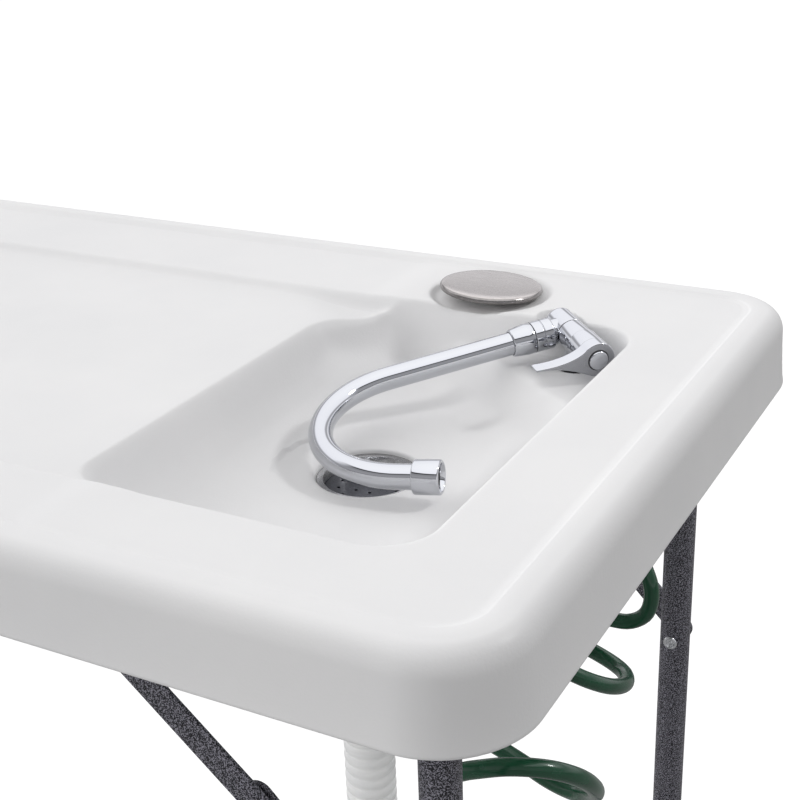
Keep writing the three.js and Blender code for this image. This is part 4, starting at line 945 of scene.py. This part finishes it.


# A flat-topped dome with a full round, polished side painted darker than the top as shade for its dark reflection,
# lying a little askew in its pocket.
def makeStopper():
    px, py = top["pocket"]
    lean = shift(px, py, stopper["height"]) @ Matrix.Rotation(math.radians(stopper["lean"]), 4, stopper["leanAxis"])
    cap = [(0, -2.7), (36, -2.7), (40, -2.3), (42.2, -1.2), (43, 0.3), (42.7, 1.7), (41.6, 2.9), (39.6, 3.7), (36, 4.2),
           (28, 4.6), (14, 5), (0, 5.1)]
    verts, faces = lathe(rounded(cap, 1.6, 4), 112)
    piece = outward(addPiece("stopperCap", verts, faces, 0, lean))
    dress(piece, "stopper_cap")
    # the round side gets a darker polished steel: painted shade standing in for the dark reflection on its steep side
    piece.data.materials.append(brushedMetal("polishedEdgePaintedShade", (0.30, 0.285, 0.28), 0.13, (220, 220, 60)))
    level = lean.inverted()
    for face in piece.data.polygons:
        place = level @ face.center
        face.material_index = 1 if place.xy.length > stopper["edgeFrom"] * mm and place.z > -2 * mm else 0
    verts, faces = lathe(rounded([(0, -5.1), (20, -5.1), (25, -4.2), (27, -3), (0, -3)], 0.5, 3), 64)
    dress(outward(addPiece("stopperSeal", verts, faces, 40, lean)), "stopper_seal")


makeDrainCup()
makeStrainer()
makeStopper()
for name, width in cadCopies.items():
    dress(copyOfNode(name, "fine_" + name, width), name)
print("stage: drain and stopper")

# Tap, made in its own frame: the barrel along X, the stem of the folded spout along -Y
tap = {
    "barrel": 12, "stemAt": -21.1, "stemDrop": 7.8, "pipe": 9, "bore": 7.8, "stem": 146.6, "bend": 70.7,
    "angle": 148.1, "tail": 20.8,
}
alongBarrel = shift(0, 0, tapPlace["barrel"]) @ Matrix.Rotation(math.pi / 2, 4, "Y")
stemFrame = (shift(tap["stemAt"], 0, tapPlace["barrel"])
             @ Matrix.Rotation(math.pi / 2 + math.radians(tap["stemDrop"]), 4, "X"))


def turnedTapPiece(name, profile, turn, round=0.8, steps=4, sides=64, closed=False, sharp=50):
    verts, faces = lathe(rounded(profile, round, steps) if not closed else profile, sides, closed)
    return outward(addPiece(name, verts, faces, sharp, tapTurn @ turn))


# One mesh from several, each kept as its own closed shell.
def mergePieces(name, pieces):
    work = bmesh.new()
    for piece in pieces:
        work.from_mesh(piece.data)
    mesh = bpy.data.meshes.new(name)
    work.to_mesh(mesh)
    work.free()
    mesh.shade_smooth()
    mesh.set_sharp_from_angle(angle=math.radians(50))
    for piece in pieces:
        bpy.data.objects.remove(piece)
    return addObject(name, mesh)


def makeTapBody():
    upright = Matrix.Identity(4)
    barrel = turnedTapPiece("barrelPart", [(0, -10.1), (11.5, -10.1), (12, -9.6), (12, 9.6), (11.5, 10.1), (0, 10.1)],
                            alongBarrel, 0.3)
    column = turnedTapPiece("columnPart", [(0, 0.3), (14, 0.3), (14.4, 0.9), (14.2, 2.3), (13, 3.2), (10.4, 4.4),
                                           (9.3, 6.6), (9, 11), (9.3, 16), (10, 21.6), (0, 21.6)], upright)
    shank = turnedTapPiece("shankPart", [(0, 0), (9.8, 0), (9.8, -59.8), (9.2, -60), (4.5, -60), (4.5, -40), (0, -40)],
                           upright, 0.2)
    spindle = turnedTapPiece("spindlePart", [(0, -16), (5, -16), (5, 38.2), (0, 38.2)], alongBarrel, 0.3)
    return dress(mergePieces("tapBody", [barrel, column, shank, spindle]), "tap_body")


def makeSpoutHub():
    end = [(12 * math.cos(a), -33 - 6 * math.sin(a)) for a in np.linspace(0, math.pi / 2, 12)[:-1]] + [(0, -39)]
    dome = turnedTapPiece("domePart", [(0, -10.5), (11.5, -10.5), (12, -11)] + end, alongBarrel, 0.3)
    collar = turnedTapPiece("collarPart", [(0, 2), (9.6, 4), (10.1, 6), (10.2, 12.2), (10.9, 12.8), (11.8, 13.1),
                                           (12.2, 13.7), (12.2, 20.3), (11.6, 20.6), (11.6, 21), (12.2, 21.3),
                                           (12.2, 28), (11.8, 28.5), (9.4, 28.5), (9.4, 20.3), (0, 20.3)],
                            stemFrame, 0.3)
    return dress(mergePieces("spoutHub", [dome, collar]), "spout_hub")


def makeSpoutNut():
    profile = [(9.3, 28.8), (11.7, 28.8), (12.2, 29.4), (12.2, 35), (12.0, 35.8), (10.75, 45.4), (10.3, 46.3),
               (9.8, 46.5), (9.3, 46.5)]
    return dress(turnedTapPiece("spoutNut", profile, stemFrame, closed=True), "spout_nut")


def bendPoint(a):
    return Vector((tap["bend"] * (1 - math.cos(a)), 0, tap["stem"] + tap["bend"] * math.sin(a)))


fullBend = math.radians(tap["angle"])
mouthWay = Vector((math.sin(fullBend), 0, math.cos(fullBend)))
nozzleFrame = stemFrame @ (shift(*(bendPoint(fullBend) + mouthWay * (tap["tail"] - 7)))
                           @ Matrix.Rotation(math.atan2(mouthWay.x, mouthWay.z), 4, "Y"))


def makeGooseneck():
    line = [Vector((0, 0, 20.7))] + [Vector((0, 0, z)) for z in np.linspace(30, tap["stem"] - 2, 12)]
    line += [bendPoint(fullBend * k / 72) for k in range(73)]
    line += [bendPoint(fullBend) + mouthWay * d for d in (6, 12, tap["tail"])]
    verts, faces = tubeAlong(line, tap["pipe"], 64, tap["bore"], side=(0, 1, 0))
    pipe = outward(addPiece("gooseneck", verts, faces, 50, tapTurn @ stemFrame))
    dress(pipe, "gooseneck")
    profile = [(9.3, 0), (11.5, 0), (12, 0.4), (12.2, 1.1), (12.2, 17.8), (11.9, 18.6), (11.2, 19), (10.3, 19),
               (9.9, 18.6), (9.7, 12.2), (6.9, 12), (6.9, 7.3), (9.3, 7.3)]
    return dress(turnedTapPiece("nozzle", profile, nozzleFrame, closed=True), "nozzle")


def bezier(p0, p1, p2, p3, n):
    a, b, c, d = (Vector(p) for p in (p0, p1, p2, p3))
    shares = (k / n for k in range(n + 1))
    return [a * (1 - t) ** 3 + b * 3 * t * (1 - t) ** 2 + c * 3 * t * t * (1 - t) + d * t ** 3 for t in shares]


lever = {"hub": 13.6, "front": 38.4, "width": 11}


# A drop-shaped blade at the front of a short barrel: a round hub that runs out to a thin tip.
def makeLever():
    r, front, width = lever["hub"], lever["front"], lever["width"]
    arc = [Vector((r * math.cos(a), r * math.sin(a))) for a in np.linspace(math.radians(-110), math.radians(135), 64)]
    upper = bezier(arc[-1], (-14.6, 4.6), (-27, -0.8), (-50, -0.7), 32)[1:]
    lower = bezier((-49.5, -2.7), (-24, -1.6), (-12.2, -10.1), arc[0], 32)[:-1]
    outline = arc + upper + lower
    verts, faces = [], []
    count = len(outline)
    for x in (front - width, front):
        for p in outline:
            verts.append((x, p.x, p.y + tapPlace["barrel"]))
    for k in range(count):
        j = (k + 1) % count
        faces.append([k, j, count + j, count + k])
    faces.append(list(range(count))[::-1])
    faces.append([count + k for k in range(count)])
    blade = outward(addPiece("bladePart", verts, faces, 45, tapTurn))
    barrel = turnedTapPiece("leverBarrelPart", [(0, 10.5), (12.7, 10.5), (13.2, 11), (13.2, 33), (0, 33)],
                            alongBarrel, 0.3)
    piece = mergePieces("tapLever", [blade, barrel])
    soften(piece, 0.9, 3, 50)
    dress(piece, "tap_lever")
    # the flat front of the blade is satin chrome in a darker colour: the darkness is painted shade for the dark
    # reflection on that face
    piece.data.materials.append(chromePlate("leverFaceShadeChrome", 0.2, (0.36, 0.365, 0.385)))
    ahead = (tapTurn.to_3x3() @ Vector((1, 0, 0))).normalized()
    for face in piece.data.polygons:
        if face.normal.dot(ahead) > 0.99 and len(face.vertices) > 60:
            face.material_index = 1
    cap = turnedTapPiece("leverCap", [(0, 38.7), (7.5, 38.7), (7.5, 39.5), (6.9, 40.3), (4, 40.9), (0, 41.0)],
                         alongBarrel, 0.6)
    return dress(cap, "lever_cap")


# A small dark piece that stands for no node of its own.
def addRubber(piece, body):
    piece.data.materials.append(finishes["rubber"])
    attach(piece, body)


# A thin dark ring in the joint between two turned parts.
def makeSeam(name, body, at, radius, turn, half):
    profile = [(radius - 1.6, at - half), (radius - 0.35, at - half), (radius, at), (radius - 0.35, at + half),
               (radius - 1.6, at + half)]
    addRubber(turnedTapPiece(name, profile, turn, closed=True), body)


# A dark disc inside the nozzle, a little behind its mouth: painted shade for the dark inside of the nozzle.
def makeNozzleShadeDisc():
    profile = [(0, 14.2), (9.3, 14.2), (9.6, 14.5), (9.6, 15.2), (8.6, 15.6), (7.8, 15.3), (0, 15)]
    addRubber(turnedTapPiece("nozzleShadeDisc", profile, nozzleFrame, 0.15, 2, 48), "spout")


makeTapBody()
makeSpoutHub()
makeNozzleShadeDisc()
makeSeam("hubSeam", "table", -10.3, 11.85, alongBarrel, 0.17)
makeSeam("leverSeam", "table", 10.3, 12.4, alongBarrel, 0.17)
makeSeam("nutSeam", "spout_hub", 28.65, 11.95, stemFrame, 0.35)
makeSeam("capSeam", "lever", 38.5, 8.3, alongBarrel, 0.3)
makeSpoutNut()
makeGooseneck()
makeLever()
gasketProfile = [(10.1, 0), (14.5, 0), (14.8, -0.6), (14.5, -1.2), (10.1, -1.2)]
dress(turnedTapPiece("tapGasket", gasketProfile, Matrix.Identity(4), closed=True), "tap_gasket")
print("stage: tap")

# Leg frames and braces; the left frame is a little narrower and hangs lower, to fold under the right one
legs = {
    "tube": 12.7, "wall": 1.4, "bend": 48, "x": 505,
    "right": {"sign": 1, "span": 223, "pivot": 884}, "left": {"sign": -1, "span": 218, "pivot": 856},
    "rivetDrop": 239, "rivetDepths": (3.9, 4.4, -25.8, -27.8), "foot": 5.3,
}
bracePieces = {"foot": 1.0, "saddle": 0.5, "lower_link": 0.6, "upper_link": 0.6, "bracket": 0.5, "knee_rivet": 0.4}


def makeLegFrame(side):
    way = legs[side]
    span, pivot, bend = way["span"], way["pivot"], legs["bend"]
    x = way["sign"] * legs["x"]
    line = [Vector((x, -span, z)) for z in np.linspace(legs["foot"], pivot - bend - 4, 14)]
    line += [Vector((x, -span + bend * (1 - math.cos(a)), pivot - bend + bend * math.sin(a)))
             for a in np.linspace(0, math.pi / 2, 20)]
    half = line + [Vector((x, y, pivot)) for y in (-120, -60, 0)]
    whole = half + [Vector((p.x, -p.y, p.z)) for p in reversed(half[:-1])]
    verts, faces = tubeAlong(whole, legs["tube"], 40, legs["tube"] - legs["wall"], side=(1, 0, 0))
    return dress(outward(addPiece(side + "LegFrame", verts, faces, 60)), side + "_leg_frame")


# A domed rivet head with a dimple, its shank, and its rolled tail with a deep eye, along Y.
def makeRivet(name, node, x, z, depths, way):
    outerY, headY, tailIn, tailOut = depths
    head = [(0, headY + 0.6), (1.5, headY + 0.3), (2.4, headY + 1.0), (3.9, headY + 1.0), (5.3, headY + 0.7),
            (6, headY), (6, outerY), (0, outerY)]
    shank = [(0, outerY + 0.2), (3.2, outerY + 0.2), (3.2, tailIn - 0.2), (0, tailIn - 0.2)]
    tail = [(0, tailIn), (6, tailIn), (6, tailOut + 0.9), (5.2, tailOut + 0.1), (4.4, tailOut), (3.7, tailOut + 0.5),
            (3.3, tailOut + 1.5), (2, tailOut + 1.6), (1.4, tailOut + 0.8), (0, tailOut + 0.6)]
    turn = shift(x, 0, z) @ Matrix.Rotation(-math.pi / 2, 4, "X")
    parts = []
    for profile in (head, shank, tail):
        shown = [(r, way * h) for r, h in profile]
        verts, faces = lathe(rounded(shown, 0.4, 3), 40)
        parts.append(outward(addPiece(name + "Part", verts, faces, 50, turn)))
    return dress(mergePieces(name, parts), node)


for side in ("right", "left"):
    makeLegFrame(side)
    way = legs[side]
    for end, sign in (("rear", 1), ("front", -1)):
        label = f"{side}_{end}"
        face = way["span"] + legs["tube"]
        rivetZ = way["pivot"] - legs["rivetDrop"]
        makeRivet(f"{side}{end.title()}LegRivet", f"{label}_leg_rivet", way["sign"] * legs["x"], rivetZ,
                  [face + depth for depth in legs["rivetDepths"]], sign)
        for kind, width in bracePieces.items():
            node = f"{label}_{kind}"
            dress(copyOfNode(node, "fine_" + node, width), node)
print("stage: legs and braces")
